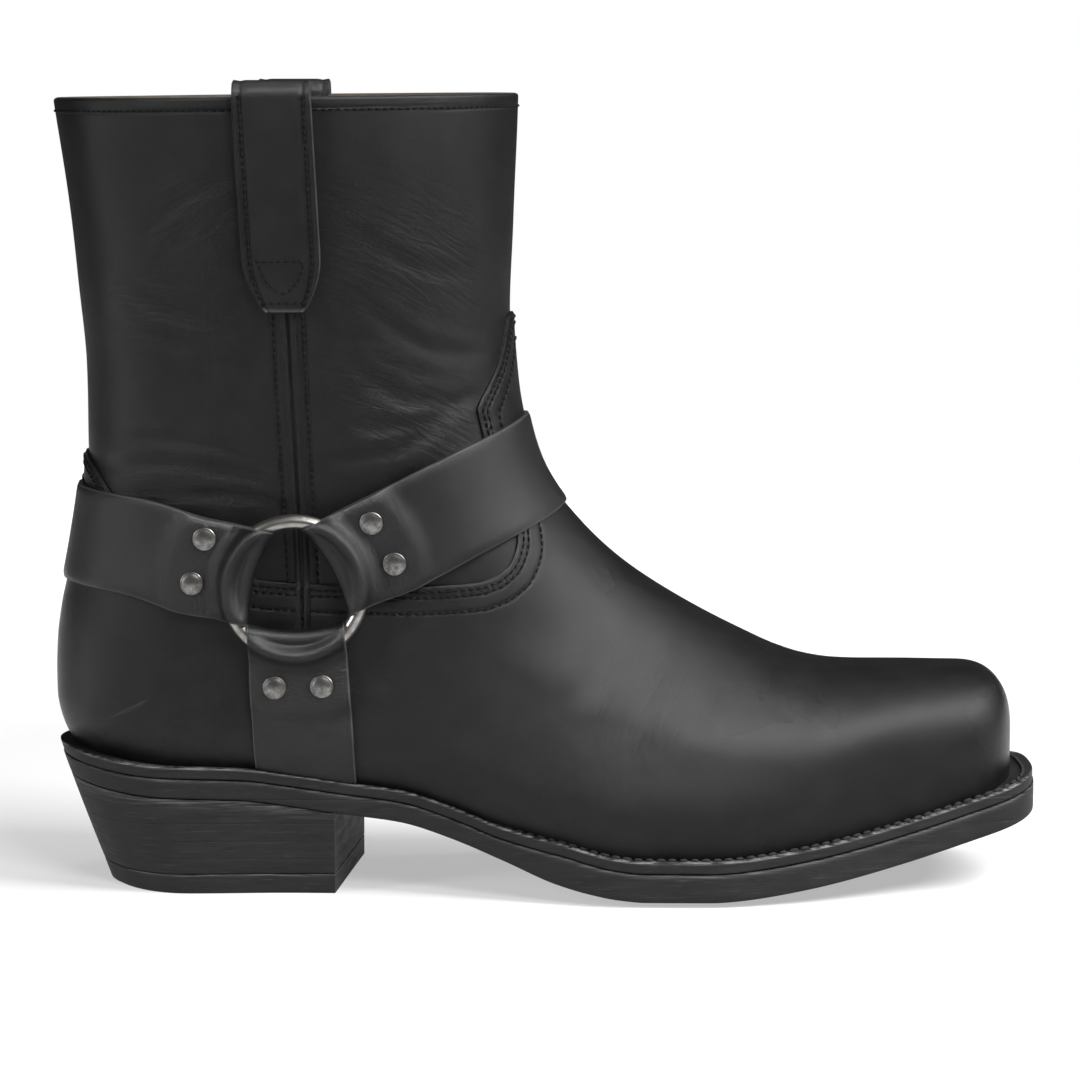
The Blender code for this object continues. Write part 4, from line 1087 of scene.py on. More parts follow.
def stitch_tree(name):
    tree = bpy.data.node_groups.new(name, "GeometryNodeTree")
    tree.interface.new_socket("Geometry", in_out="INPUT", socket_type="NodeSocketGeometry")
    for title, kind, value in (
            ("Spacing", "NodeSocketFloat", 0.0024), ("Length", "NodeSocketFloat", 0.0018),
            ("Thickness", "NodeSocketFloat", 0.0007), ("Unevenness", "NodeSocketFloat", 0.12),
            ("Material", "NodeSocketMaterial", None)):
        socket = tree.interface.new_socket(title, in_out="INPUT", socket_type=kind)
        if value is not None:
            socket.default_value = value
    tree.interface.new_socket("Geometry", in_out="OUTPUT", socket_type="NodeSocketGeometry")
    enter, leave = tree.nodes.new("NodeGroupInput"), tree.nodes.new("NodeGroupOutput")
    link = tree.links.new
    curve = tree.nodes.new("GeometryNodeMeshToCurve")
    link(enter.outputs["Geometry"], curve.inputs[0])
    spaced = node(tree, "GeometryNodeResampleCurve", mode="LENGTH")
    link(curve.outputs[0], spaced.inputs["Curve"])
    link(enter.outputs["Spacing"], spaced.inputs["Length"])
    shape = node(tree, "GeometryNodeMeshUVSphere", {"Segments": 8, "Rings": 5, "Radius": 0.5})
    facing = node(tree, "GeometryNodeInputNamedAttribute", {"Name": "facing"}, data_type="FLOAT_VECTOR")
    tangent = tree.nodes.new("GeometryNodeInputTangent")
    turn = node(tree, "FunctionNodeAlignRotationToVector", {"Vector": tangent.outputs[0]}, axis="X")
    turn2 = node(tree, "FunctionNodeAlignRotationToVector", {"Rotation": turn.outputs[0],
                                                             "Vector": facing.outputs["Attribute"]},
                 axis="Z", pivot_axis="X")
    chance = node(tree, "FunctionNodeRandomValue", data_type="FLOAT")
    link(calc(tree, "SUBTRACT", 1.0, enter.outputs["Unevenness"]), chance.inputs[2])
    link(calc(tree, "ADD", 1.0, enter.outputs["Unevenness"]), chance.inputs[3])
    chance.inputs["Seed"].default_value = STITCH_SEED
    size = node(tree, "ShaderNodeCombineXYZ")
    link(calc(tree, "MULTIPLY", enter.outputs["Length"], chance.outputs[1]), size.inputs[0])
    link(enter.outputs["Thickness"], size.inputs[1])
    link(enter.outputs["Thickness"], size.inputs[2])
    put = tree.nodes.new("GeometryNodeInstanceOnPoints")
    link(spaced.outputs[0], put.inputs["Points"])
    link(shape.outputs[0], put.inputs["Instance"])
    link(turn2.outputs[0], put.inputs["Rotation"])
    link(size.outputs[0], put.inputs["Scale"])
    hand_out(tree, put, enter, leave)
    return tree


stitching = stitch_tree("stitching")


print("stitching tree", len(stitching.nodes), "nodes")


# %% Stitches from lines
def bake(name, points, edges, facing, tree, values):
    """An object made by a Geometry Nodes tree from points that carry a direction, as a plain mesh."""
    mesh = bpy.data.meshes.new(name + "_lines")
    mesh.from_pydata(np.asarray(points, float).tolist(), [list(map(int, e)) for e in edges], [])
    layer = mesh.attributes.new("facing", "FLOAT_VECTOR", "POINT")
    layer.data.foreach_set("vector", np.asarray(facing, np.float32).ravel())
    source = bpy.data.objects.new(name + "_lines", mesh)
    bpy.context.scene.collection.objects.link(source)
    modifier = source.modifiers.new("nodes", "NODES")
    modifier.node_group = tree
    sockets = {item.name: item.identifier for item in tree.interface.items_tree if item.in_out == "INPUT"}
    for key, value in values.items():
        modifier[sockets[key]] = value
    ready = source.evaluated_get(bpy.context.evaluated_depsgraph_get())
    result = bpy.data.meshes.new_from_object(ready)
    bpy.data.objects.remove(source, do_unlink=True)
    result.name = name
    result.shade_smooth()
    piece = bpy.data.objects.new(name, result)
    bpy.context.scene.collection.objects.link(piece)
    return piece


def stitch(name, paths, material, spacing, length, thickness, unevenness=0.12):
    """Rows of stitches along paths of points and normals."""
    points, facing, edges = [], [], []
    for line, normals in paths:
        start = len(points)
        points += list(line)
        facing += list(normals)
        edges += [(i, i + 1) for i in range(start, len(points) - 1)]
    return bake(name, points, edges, facing, stitching, {
        "Spacing": spacing, "Length": length, "Thickness": thickness,
        "Unevenness": unevenness, "Material": material})


upper_stitches = stitch("upper_stitches", stitch_paths, black_thread, 0.0023, 0.0019, 0.00075)
settle(upper_stitches, "black_leather")

# %% [markdown]
# Now the upper itself. The outer surface is the fine grid, and the lining is the same form moved in
# by the wall and drawn more coarsely. They meet in a rounded rim at the collar and in a flat edge
# at the foot, so the piece is one closed skin with a real wall.

# %% The upper
RIM = 7


def build_upper():
    outer = form_grid + form_normal * form_relief[..., None]
    base_inner = form_grid - form_normal * (WALL - 0.4 * form_relief[..., None])
    picks = np.arange(0, ROWS, 3)
    inner = base_inner[picks]
    top_out, top_in = outer[-1], base_inner[-1]
    middle, across = (top_out + top_in) / 2, (top_out - top_in) / 2
    up = np.array([0, 0, 1.0]) * np.linalg.norm(across, axis=1)[:, None]
    turns = np.linspace(0, math.pi, RIM + 2)[1:-1]
    rim = np.array([middle + across * math.cos(t) * 1.04 + up * math.sin(t) * 0.8 for t in turns])
    columns = 2 * HALF + 1
    sheet = np.concatenate([outer, rim, inner[::-1]])
    vertices = sheet.reshape(-1, 3)
    faces = [tuple(f) for f in grid_faces(len(sheet), columns)]
    first_inner = ROWS + RIM
    black = (ROWS - 1 + RIM // 2) * (columns - 1)
    kinds = [0] * black + [1] * ((len(sheet) - 1) * (columns - 1) - black)

    def inner_row(k):
        return (first_inner + len(picks) - 1 - k) * columns

    for column_at in (0, columns - 1):
        for k in range(len(picks) - 1):
            span = [r * columns + column_at for r in range(picks[k], picks[k + 1] + 1)]
            faces.append(tuple(span + [inner_row(k + 1) + column_at, inner_row(k) + column_at]))
            kinds.append(1)
    for j in range(columns - 1):
        faces.append((j, j + 1, inner_row(0) + j + 1, inner_row(0) + j))
        kinds.append(1)
    fields = {"row": np.full(len(vertices), NO_ROW)}
    fields["row"][:ROWS * columns] = row_field.ravel()
    for key, values in bundle_fields.items():
        fields[key] = np.zeros(len(vertices))
        fields[key][:ROWS * columns] = values.ravel()
    return add_piece("lasted_upper", vertices, faces, [upper_leather, lining_leather], fields=fields,
                     kinds=kinds, sharp=60)


upper = build_upper()
settle(upper, "black_leather", "upper")

# %% [markdown]
# The overlays could be sheets that are shrink-wrapped on the upper. Cut out of the upper's own grid
# they fit without a gap, and their edge is a wall that goes down into the shaft.


# %% The overlays
def build_overlay(name, field):
    """An overlay cut from the upper's grid, with a rounded cut edge that goes down to the shaft."""
    columns = 2 * HALF + 1
    quads = [tuple(f) for f in grid_faces(ROWS, columns)]
    values = field.ravel()
    fields = {"row": row_field.ravel(), "depth": values, "fold": form_relief.ravel()}
    for k, key in enumerate(("nx", "ny", "nz")):
        fields[key] = form_normal[..., k].ravel()
    for key, bundle in bundle_fields.items():
        fields[key] = bundle.ravel()
    base, faces, data = cut(form_grid.reshape(-1, 3), quads, values, fields)
    normals = np.stack([data.pop("nx"), data.pop("ny"), data.pop("nz")], axis=1)
    normals /= np.linalg.norm(normals, axis=1)[:, None]
    fold, depth = data.pop("fold"), data.pop("depth")
    rise = OVERLAY * mix(0.62, 1.0, ease(depth / 0.0012))
    top = base + normals * (fold + rise)[:, None]
    low = base + normals * (fold - 0.0006)[:, None]
    counts = {}
    for face in faces:
        for a, b in zip(face, face[1:] + face[:1]):
            counts[(a, b)] = counts.get((a, b), 0) + 1
    rim = [(a, b) for (a, b) in counts if (b, a) not in counts]
    ends = sorted({i for edge in rim for i in edge})
    number = {i: len(top) + k for k, i in enumerate(ends)}
    vertices = np.concatenate([top, low[ends]])
    for key in list(data):
        data[key] = np.concatenate([data[key], data[key][ends]])
    walls = [(b, a, number[a], number[b]) for a, b in rim]
    return add_piece(name, vertices, [tuple(f) for f in faces] + walls, [upper_leather], merge=0.00002,
                     fields=data, sharp=50)


for overlay_name, overlay_at in (("vamp", vamp_field), ("counter", counter_field)):
    settle(build_overlay(overlay_name, overlay_at), "black_leather")

# %% [markdown]
# Down each side the front and back of the shaft meet in a seam: two rolled edges with a dark gap
# between them. It is a profile of a few points swept down the seam line.

# %% Side seams
SEAM_PROFILE = (
    # across  height (mm)
    (-2.7, -0.35), (-2.1, 0.20), (-1.5, 0.52), (-0.9, 0.66), (-0.45, 0.45), (-0.22, -0.25),
    (0.22, -0.25), (0.45, 0.36), (0.9, 0.54), (1.5, 0.44), (2.1, 0.16), (2.7, -0.35),
)


def swept(points, normals, profile):
    """Grid of a profile, across and height in metres, carried along a path."""
    run = np.gradient(points, axis=0)
    run /= np.linalg.norm(run, axis=1)[:, None]
    across = np.cross(run, normals)
    across /= np.linalg.norm(across, axis=1)[:, None]
    return np.array([points + across * a + normals * h for a, h in profile])


def build_seam(side, name):
    points, normals = on_form(seam_line, side)
    height = folds(seam_line[:, 0], seam_line[:, 1], side)
    height += OVERLAY * ease((place(0, 0.494)[1] - seam_line[:, 1]) / 0.002)
    points = points + normals * height[:, None]
    top = swept(points, normals, [(a * MM, h * MM) for a, h in SEAM_PROFILE])
    bottom = swept(points, normals, [(a * MM, -0.5 * MM) for a, h in SEAM_PROFILE])
    vertices, faces = slab(top, bottom)
    zero = np.zeros(len(vertices))
    return add_piece(name, vertices, faces, [trim_leather], fields={"wear": zero, "row": zero + NO_ROW},
                     sharp=60)


for side_name, side in SIDES:
    settle(build_seam(side, "side_seam_" + side_name), "black_leather")

# %% [markdown]
# A harness strap is a strip of thick leather whose ends are folded round a ring and riveted. The
# leather bulges where the wire runs under it, dips behind the wire, and rolls over at the fold.
# So the face of the strap is a height over the side view: above the ring it is worked out from
# the distance to the wire and to the fold, and further on it lies on the upper.

# %% Harness straps
FOLD_HALF, FOLD_NOSE, FOLD_HOLLOW, FOLD_ROLL = 0.0146, 0.0127, 0.0024, 0.0026
WIRE_COVER = RING_WIRE / 2 + GAP + STRAP
VALLEY, NOSE_STEPS = 0.0017, 8
RIM_OUT = RING_RADIUS + RING_WIRE / 2


def strap_axes(pull):
    ahead = np.array([math.cos(math.radians(pull)), math.sin(math.radians(pull))])
    up = np.array([-ahead[1], ahead[0]])
    return (ahead, up) if ahead[0] > 0.5 else (ahead, -up)


def ring_middle(side):
    x, z = HEEL_EDGE + RING_ALONG, RING_HEIGHT
    turn = np.linspace(0, 2 * math.pi, 24)
    widest = np.abs(form_y(x + RIM_OUT * np.cos(turn), z + RIM_OUT * np.sin(turn), side)).max()
    return np.array([x, side * (widest + STRAP_GAP + STRAP + GAP + RING_WIRE / 2), z])


print("middle of the outer ring", ring_middle(-1).round(4))


# %% The path of a strap
def strap_path(edges, pull, across, to_outline, count):
    """Side-view line of one row of a strap, from the middle of its fold to its end."""
    middle = np.array([HEEL_EDGE + RING_ALONG, RING_HEIGHT])
    ahead, up = strap_axes(pull)
    start = FOLD_NOSE + FOLD_ROLL - FOLD_HOLLOW * across**2
    fold = middle + ahead * start + up * across * FOLD_HALF
    knots = [fold]
    for row in edges:
        share = (1 + across) / 2
        knots.append(place(mix(row[2], row[0], share), mix(row[3], row[1], share)))
    if to_outline:
        knots[-1] = reach(knots[-2][None], knots[-1][None])[0]
    else:
        knots[-1][1] = sole_top(knots[-1][0]) + SIDE_STRAP_FOOT
    knots = np.array(knots)
    run = np.concatenate([[0], np.cumsum(np.hypot(*np.diff(knots, axis=0).T))])
    even = run[-1] * np.concatenate([np.linspace(0, 0.28, count // 2, endpoint=False),
                                     0.28 + 0.72 * np.sin(np.linspace(0, math.pi / 2, count - count // 2))])
    return np.stack([smooth_curve(run, knots[:, k])(even) for k in (0, 1)], axis=1)


print("front strap's path", len(strap_path(FRONT_STRAP, FRONT_PULL, 0.0, True, 90)), "points")


# %% Faces of a strap
def strap_rows(edges, pull, across, side, to_outline, count):
    """Outer and inner face of one row of a strap."""
    middle = ring_middle(side)
    path = strap_path(edges, pull, across, to_outline, count)
    ahead, up = strap_axes(pull)
    offset = path - middle[[0, 2]]
    q, out = offset @ ahead, np.hypot(*offset.T)
    rho = out - RING_RADIUS
    cover = WIRE_COVER * np.exp(-(np.abs(rho) / 0.0034)**2.2)
    roll = VALLEY + (FOLD_ROLL - VALLEY) * np.exp(-((q - q[0]) / 0.0017)**2)
    over = (cover**6 + roll**6)**(1 / 6)
    blend = ease((out - 0.0212) / 0.0062)[:, None]
    lap = 1 - ease((out - RIM_OUT - UNDERLAP) / (LAP_END - UNDERLAP))
    normal_up = np.array([0, side, 0])
    flat = np.stack([path[:, 0], np.full(len(path), middle[1]), path[:, 1]], axis=1)
    edge = 1 - 0.20 * max(0, abs(across) - 0.9) / 0.1
    far = raised(path, side, STRAP_GAP + (STRAP + lap * (STRAP + GAP)) * edge)
    outer = mix(flat + normal_up * (over * edge)[:, None], far, blend)
    seat = raised(path, side, STRAP_GAP)
    inner = mix(flat - normal_up * np.minimum(over, WIRE_COVER)[:, None], seat, blend)
    turns = []
    for angle in np.linspace(0, 90, NOSE_STEPS + 1)[:-1]:
        c, s = math.cos(math.radians(angle)), math.sin(math.radians(angle))
        x, z = path[0] - ahead * FOLD_ROLL * c
        turns.append([(x, middle[1] + side * over[0] * edge * s, z), (x, middle[1] - side * over[0] * s, z)])
    turns = np.array(turns)
    reach_out = np.concatenate([np.full(NOSE_STEPS, out[0]), out])
    return np.concatenate([turns[:, 0], outer]), np.concatenate([turns[:, 1], inner]), reach_out


print("leather over the wire", round(WIRE_COVER / MM, 2), "mm")


# %% The four straps
def build_strap(name, edges, pull, sides, to_outline, count):
    tops, bottoms, outs = [], [], []
    spread = np.concatenate([[-1, -0.965], np.linspace(-0.92, 0.92, 21), [0.965, 1]])
    for across in spread:
        top, bottom, out = strap_rows(edges, pull, across, sides[0], to_outline, count)
        if len(sides) > 1:
            top2, bottom2, out2 = strap_rows(edges, pull, across, sides[1], to_outline, count)
            top = np.concatenate([top, top2[-2::-1]])
            bottom = np.concatenate([bottom, bottom2[-2::-1]])
            out = np.concatenate([out, out2[-2::-1]])
        tops.append(top)
        bottoms.append(bottom)
        outs.append(out)
    vertices, faces = slab(tops, bottoms)
    rows, columns = len(tops), len(tops[0])
    wear = np.zeros((2, rows, columns))
    wear[0, [0, -1]] = 0.8
    wear[1, [0, -1]] = 0.25
    near = np.array(outs)
    crease = np.exp(-((near - 0.030) / 0.008)**2) + 0.25
    run = np.cumsum(np.linalg.norm(np.diff(tops[rows // 2], axis=0, prepend=tops[rows // 2][:1]), axis=1))
    fields = {
        "wear": wear, "crease": np.stack([crease, crease]),
        "crease_across": np.broadcast_to(run / MM * 0.6, (2, rows, columns)),
        "crease_along": np.broadcast_to((spread * 3.2)[None, :, None], (2, rows, columns)),
    }
    return add_piece(name, vertices, faces, [strap_leather], fields=fields, sharp=50)


settle(build_strap("front_strap", FRONT_STRAP, FRONT_PULL, (-1, 1), True, 90), "strap_leather",
       "harness_front_strap")
settle(build_strap("back_strap", BACK_STRAP, BACK_PULL, (-1, 1), True, 90), "strap_leather",
       "harness_back_strap")
for side_name, side in SIDES:
    settle(build_strap("side_strap_" + side_name, SIDE_STRAP, SIDE_PULL, (side,), False, 80),
           "strap_leather", "harness_side_strap_" + side_name)

# %% [markdown]
# Pull straps are folded loops sewn to the shaft. Each runs up the outside, turns over the collar and
# goes down inside. Its width follows a short profile: a blunt tip that widens in a curve. Rows of
# stitches follow its sides, and a small box of stitches holds its end.

# %% Pull straps
PULL_PROFILE = (
    # height above the tip (mm)  share of the full width
    (0.0, 0.50), (0.6, 0.56), (3.0, 0.68), (6.5, 0.82), (10.5, 0.93), (15.0, 0.99), (20.0, 1.0), (200.0, 1.0),
)
PULL_TOP_X, PULL_ROW, PULL_TIP_PART = HEEL_EDGE + PULL_ALONG * LENGTH, 0.80, 0.02
pull_share = column(PULL_PROFILE, 1)


def pull_line(heights, across, tip, collar):
    half = PULL_WIDTH / 2 * pull_share((heights - tip) / MM)
    up = np.clip((heights - tip) / (collar - tip), 0, 1)
    middle = HEEL_EDGE + LENGTH * mix(PULL_TIP_ALONG, PULL_ALONG, up)
    return np.stack([middle + across * half, heights], axis=1)


def pull_ends():
    """Heights of a pull strap's tip and of the collar above it."""
    return sole_top(PULL_TOP_X) + PULL_TIP, collar_height(PULL_TOP_X)


def pull_row(across, side):
    """Inner face of one row of a pull strap, and the direction that it faces."""
    tip, collar = pull_ends()
    outside = np.concatenate([tip + np.linspace(0, PULL_TIP_PART, 16, endpoint=False),
                              np.linspace(tip + PULL_TIP_PART, collar, 30)])
    inside = np.linspace(collar, collar - PULL_INSIDE, 24)
    outer, outer_facing = on_form(pull_line(outside, across, tip, collar), side)
    inner, inner_facing = on_form(pull_line(inside, across, tip, collar), side)
    outer = outer + outer_facing * STRAP_GAP
    inner = inner - inner_facing * (WALL + STRAP_GAP)
    middle = (outer[-1] + inner[0]) / 2 + np.array([0, 0, PULL_RISE])
    radius = (WALL + 2 * STRAP_GAP) / 2
    turns = np.linspace(0, math.pi, 14)
    facing = np.stack([np.zeros(len(turns)), side * np.cos(turns), np.sin(turns)], axis=1)
    return np.concatenate([outer, middle + facing * radius, inner]), np.concatenate(
        [outer_facing, facing, -inner_facing])


print("pull strap's tip and collar", [round(float(level), 4) for level in pull_ends()])


# %% Body and stitches of a pull strap
def build_pull(name, side):
    spread = np.concatenate([[-1, -0.965], np.linspace(-0.92, 0.92, 15), [0.965, 1]])
    tops, bottoms = [], []
    for across in spread:
        face, facing = pull_row(across, side)
        thick = PULL_STRAP * (0.72 if abs(across) == 1 else 1.0)
        hollow = 0.0003 * np.exp(-((abs(across) - PULL_ROW) / 0.07)**2)
        tops.append(face + facing * (thick - hollow))
        bottoms.append(face)
    vertices, faces = slab(tops, bottoms)
    rows, columns = len(tops), len(tops[0])
    wear = np.zeros((2, rows, columns))
    wear[0, [0, -1]] = 0.9
    wear[0, :, 0] = 0.9
    row = np.full((2, rows, columns), NO_ROW)
    row[0] = np.abs(np.abs(spread)[:, None] - PULL_ROW) * PULL_WIDTH / 2 / MM
    return add_piece(name, vertices, faces, [trim_leather], fields={"wear": wear, "row": row}, sharp=50)


def pull_point(across, height, side):
    """Point on the outer face of a pull strap at a share across and a height above its tip."""
    tip, collar = pull_ends()
    line = np.array([pull_line(np.array([tip + h]), a, tip, collar)[0] for a, h in zip(across, height)])
    points, facing = on_form(line, side)
    return points + facing * (STRAP_GAP + PULL_STRAP - 0.00005), facing


def pull_stitches(side):
    paths = []
    top = float(collar_height(SHAFT_MIDDLE)) - float(sole_top(PULL_TOP_X)) - PULL_TIP + 0.001
    climb = np.linspace(0.0024, top, 60)
    for sign in (-1, 1):
        paths.append(pull_point(sign * np.full(len(climb), PULL_ROW), climb, side))
    paths.append(pull_point(np.linspace(-0.74, 0.74, 12), np.full(12, 0.0026), side))
    half = PULL_WIDTH / 2
    corners = np.array([(-0.60, 0.0150), (0.60, 0.0150), (0.50, 0.0100), (0.28, 0.0066), (0.0, 0.0054),
                        (-0.28, 0.0066), (-0.50, 0.0100), (-0.60, 0.0150)])
    box = resample(corners * np.array([half, 1.0]), 60)
    paths.append(pull_point(box[:, 0] / half, box[:, 1], side))
    return paths


for side_name, side in SIDES:
    settle(build_pull("pull_loop_" + side_name, side), "black_leather", "pull_strap_" + side_name)
pull_paths = pull_stitches(-1) + pull_stitches(1)
settle(stitch("pull_strap_stitches", pull_paths, black_thread, 0.0021, 0.0017, 0.0007), "black_leather")

# %% [markdown]
# The rings are round wire, welded and plated. A torus drawn in code has enough faces to look round,
# and its plating is mottled with worn spots. The rivets are low domes with a thin rim. They are the
# same shape twelve times, so a second tree puts one turned shape on twelve points.


# %% Rings
def build_ring(name, side):
    middle = ring_middle(side)
    around, wire = 128, 20
    vertices, faces = [], []
    for i in range(around):
        a = 2 * math.pi * i / around
        for j in range(wire):
            b = 2 * math.pi * j / wire
            radius = RING_RADIUS + RING_WIRE / 2 * math.cos(b)
            vertices.append((middle[0] + radius * math.cos(a), middle[1] + RING_WIRE / 2 * math.sin(b),
                             middle[2] + radius * math.sin(a)))
            i2, j2 = (i + 1) % around, (j + 1) % wire
            faces.append((i * wire + j, i2 * wire + j, i2 * wire + j2, i * wire + j2))
    return add_piece(name, vertices, faces, [ring_nickel])


for side_name, side in SIDES:
    settle(build_ring("wire_ring_" + side_name, side), "antique_nickel", "ring_" + side_name)


# %% The shape of a rivet
def rivet_shape(steps=28):
    """A turned cap: domed face, thin rim, and a short skirt into the leather."""
    radius = RIVET_HEAD / 2
    profile = ((0.0, 1.25), (0.3, 1.20), (0.6, 1.03), (0.80, 0.80), (0.86, 0.70), (0.90, 0.72), (0.95, 0.70),
               (0.99, 0.56), (1.0, 0.35), (0.97, 0.12), (0.9, -0.6))
    vertices = [(0, 0, profile[0][1] * MM)]
    faces = []
    for k, (share, height) in enumerate(profile[1:]):
        for i in range(steps):
            a = 2 * math.pi * i / steps
            vertices.append((share * radius * math.cos(a), share * radius * math.sin(a), height * MM))
            j = (i + 1) % steps
            if k == 0:
                faces.append((0, 1 + i, 1 + j))
            else:
                near, far = 1 + (k - 1) * steps, 1 + k * steps
                faces.append((near + i, far + i, far + j, near + j))
    last = 1 + (len(profile) - 2) * steps
    faces.append(tuple(last + i for i in range(steps))[::-1])
    return add_piece("rivet_shape", vertices, faces, [rivet_nickel], sharp=60)


print("rivet head", round(RIVET_HEAD / MM, 1), "mm")


# %% The riveting tree
def rivet_tree(name):
    tree = bpy.data.node_groups.new(name, "GeometryNodeTree")
    for title, kind in (("Geometry", "NodeSocketGeometry"), ("Shape", "NodeSocketObject"),
                        ("Size", "NodeSocketFloat"), ("Material", "NodeSocketMaterial")):
        tree.interface.new_socket(title, in_out="INPUT", socket_type=kind)
    tree.interface.new_socket("Geometry", in_out="OUTPUT", socket_type="NodeSocketGeometry")
    enter, leave = tree.nodes.new("NodeGroupInput"), tree.nodes.new("NodeGroupOutput")
    link = tree.links.new
    shape = tree.nodes.new("GeometryNodeObjectInfo")
    link(enter.outputs["Shape"], shape.inputs["Object"])
    facing = node(tree, "GeometryNodeInputNamedAttribute", {"Name": "facing"}, data_type="FLOAT_VECTOR")
    turn = node(tree, "FunctionNodeAlignRotationToVector", {"Vector": facing.outputs["Attribute"]}, axis="Z")
    put = tree.nodes.new("GeometryNodeInstanceOnPoints")
    link(enter.outputs["Geometry"], put.inputs["Points"])
    link(shape.outputs["Geometry"], put.inputs["Instance"])
    link(turn.outputs[0], put.inputs["Rotation"])
    link(enter.outputs["Size"], put.inputs["Scale"])
    hand_out(tree, put, enter, leave)
    return tree


def rivet_seats():
    seats, facings, names = [], [], []
    for side_name, side in SIDES:
        middle = ring_middle(side)[[0, 2]]
        number = 0
        for pull in (BACK_PULL, FRONT_PULL, SIDE_PULL):
            ahead, up = strap_axes(pull)
            for spread in (1, -1):
                number += 1
                line = np.array([middle + ahead * (RIM_OUT + RIVET_OUT) + up * spread * RIVET_SPREAD])
                points, facing = on_form(line, side)
                seats.append(points[0] + facing[0] * (STRAP_GAP + 2 * STRAP + GAP - 0.00005))
                facings.append(facing[0])
                names.append(f"rivet_{side_name}_{number}")
    return seats, facings, names


shape = rivet_shape()
seats, facings, rivet_names = rivet_seats()
rivets = bake("rivets", seats, [], facings, rivet_tree("riveting"),
              {"Shape": shape, "Size": 1.0, "Material": rivet_nickel})
bpy.data.objects.remove(shape, do_unlink=True)
settle(rivets, "antique_nickel", *rivet_names)

# %% [markdown]
# The sole is layers with one outline: welt, outsole and, under the heel, a stack of lifts with a
# rubber top lift. Each layer is lofted through cross ribs. The ribs stand closer where the outline
# turns, and each rib has a small round at its upper and lower corner, as a trimmed edge has.


# %% Layers of the sole
RIBS, ACROSS = 300, 11


def sole_half(x, side, back, front, inset):
    share = np.where(side < 0, outer_share(along(x)), inner_share(along(x)))
    toe = np.clip(1 - (front - x) / (SOLE_TOE_ROUND - inset), 0, 1)
    heel = np.clip(1 - (x - back) / (SOLE_HEEL_ROUND - inset), 0, 1)
    return (share * BALL_WIDTH - inset) * (1 - toe**PLAN_POWER)**(1 / PLAN_POWER) * (1 - heel**2)**0.5


def stations(back, front, inset, count, stop=None):
    """Places of the ribs, evenly spaced round the outline."""
    turn = np.linspace(0, math.pi, 3000)
    x = mix(back, front, (1 - np.cos(turn)) / 2)
    half = sole_half(x, -1, back, front, inset)
    places = resample(np.stack([x, half], axis=1), count)[:, 0]
    return places if stop is None else np.append(places[places < stop - 0.0008], stop)


def raked(x, z, side, half, side_rake):
    drop = sole_top(x) - z
    share = np.clip((x - HEEL_EDGE) / (BREAST - HEEL_EDGE), 0, 1)
    narrow = side_rake * drop * np.minimum(1, half / 0.02)
    return x + HEEL_RAKE * drop * (1 - share), side * np.maximum(half - narrow, 0.00002)


def edge_profile(corner, levels):
    """Shares of the height and insets of an edge with rounded corners."""
    shares = np.concatenate([[0, 0.03, 0.10], np.linspace(0.2, 0.8, levels), [0.90, 0.97, 1]])
    insets = corner * np.concatenate([[1.0, 0.42, 0.06], np.zeros(levels), [0.06, 0.42, 1.0]])
    return shares, insets


print("ribs", len(stations(HEEL_EDGE, HEEL_EDGE + LENGTH, 0, RIBS)))


# %% Lofting a layer
def loft(name, top, bottom, x_places, half_at, rake_at, corner, material, skew=0.0, crown=0.0, wear=0.0):
    """A closed layer between two levels."""
    shares, insets = edge_profile(corner, 5)
    rows, wears = [], []
    for x in x_places:
        rib, worn = [], []
        for side in (-1, 1):
            wall = []
            half = float(half_at(x, side))
            inset_share = min(1.0, half / 0.004)
            for share, inset in zip(shares, insets):
                level = mix(float(top(x)), float(bottom(x)), share)
                px, py = raked(x, level, side, half - inset * inset_share, rake_at(x))
                px = px + side * skew * float(ease((x - HEEL_EDGE) / (BREAST - HEEL_EDGE)))
                z = mix(float(top(px)), float(bottom(px)), share)
                z += crown * float(ease((along(x) - WAIST_END) / CROWN_BLEND)) * share
                wall.append((px, py, z))
                worn.append(wear * math.exp(-((share - 0.03) / 0.06)**2))
            rib.append(wall)
        outer, inner = rib
        across = np.linspace(-1, 1, ACROSS + 2)[1:-1]
        under = []
        for a in across:
            t = (a + 1) / 2
            px, py = mix(outer[-1][0], inner[-1][0], t), mix(outer[-1][1], inner[-1][1], t)
            lift = crown * float(ease((along(x) - WAIST_END) / CROWN_BLEND)) * float(
                ease((abs(a) - FLAT_SHARE) / (1 - FLAT_SHARE)))
            under.append((px, py, float(bottom(px)) + lift))
        over = []
        for a in across[::-1]:
            t = (a + 1) / 2
            px, py = mix(outer[0][0], inner[0][0], t), mix(outer[0][1], inner[0][1], t)
            over.append((px, py, float(top(px))))
        count = len(outer)
        rows.append(outer + under + inner[::-1] + over)
        wears.append(worn[:count] + [0] * len(under) + worn[count:][::-1] + [0] * len(over))
    around = len(rows[0])
    faces = []
    for i in range(len(rows) - 1):
        for j in range(around):
            k = (j + 1) % around
            faces.append((i * around + j, i * around + k, (i + 1) * around + k, (i + 1) * around + j))
    last = (len(rows) - 1) * around
    wall_count = len(shares)
    for base in (0, last):
        far_top = base + 2 * wall_count + ACROSS - 1
        for k in range(wall_count - 1):
            faces.append((base + k, base + k + 1, far_top - 1 - k, far_top - k))
        faces.append(tuple(base + wall_count - 1 + k for k in range(ACROSS + 2)))
        faces.append((base, *(base + around - 1 - k for k in range(ACROSS)), far_top))
    vertices = np.array(rows).reshape(-1, 3)
    return add_piece(name, vertices, faces, [material], merge=0.00002,
                     fields={"wear": np.array(wears).ravel()}, sharp=48)


print("profile points of an edge", len(edge_profile(0.0005, 5)[0]))

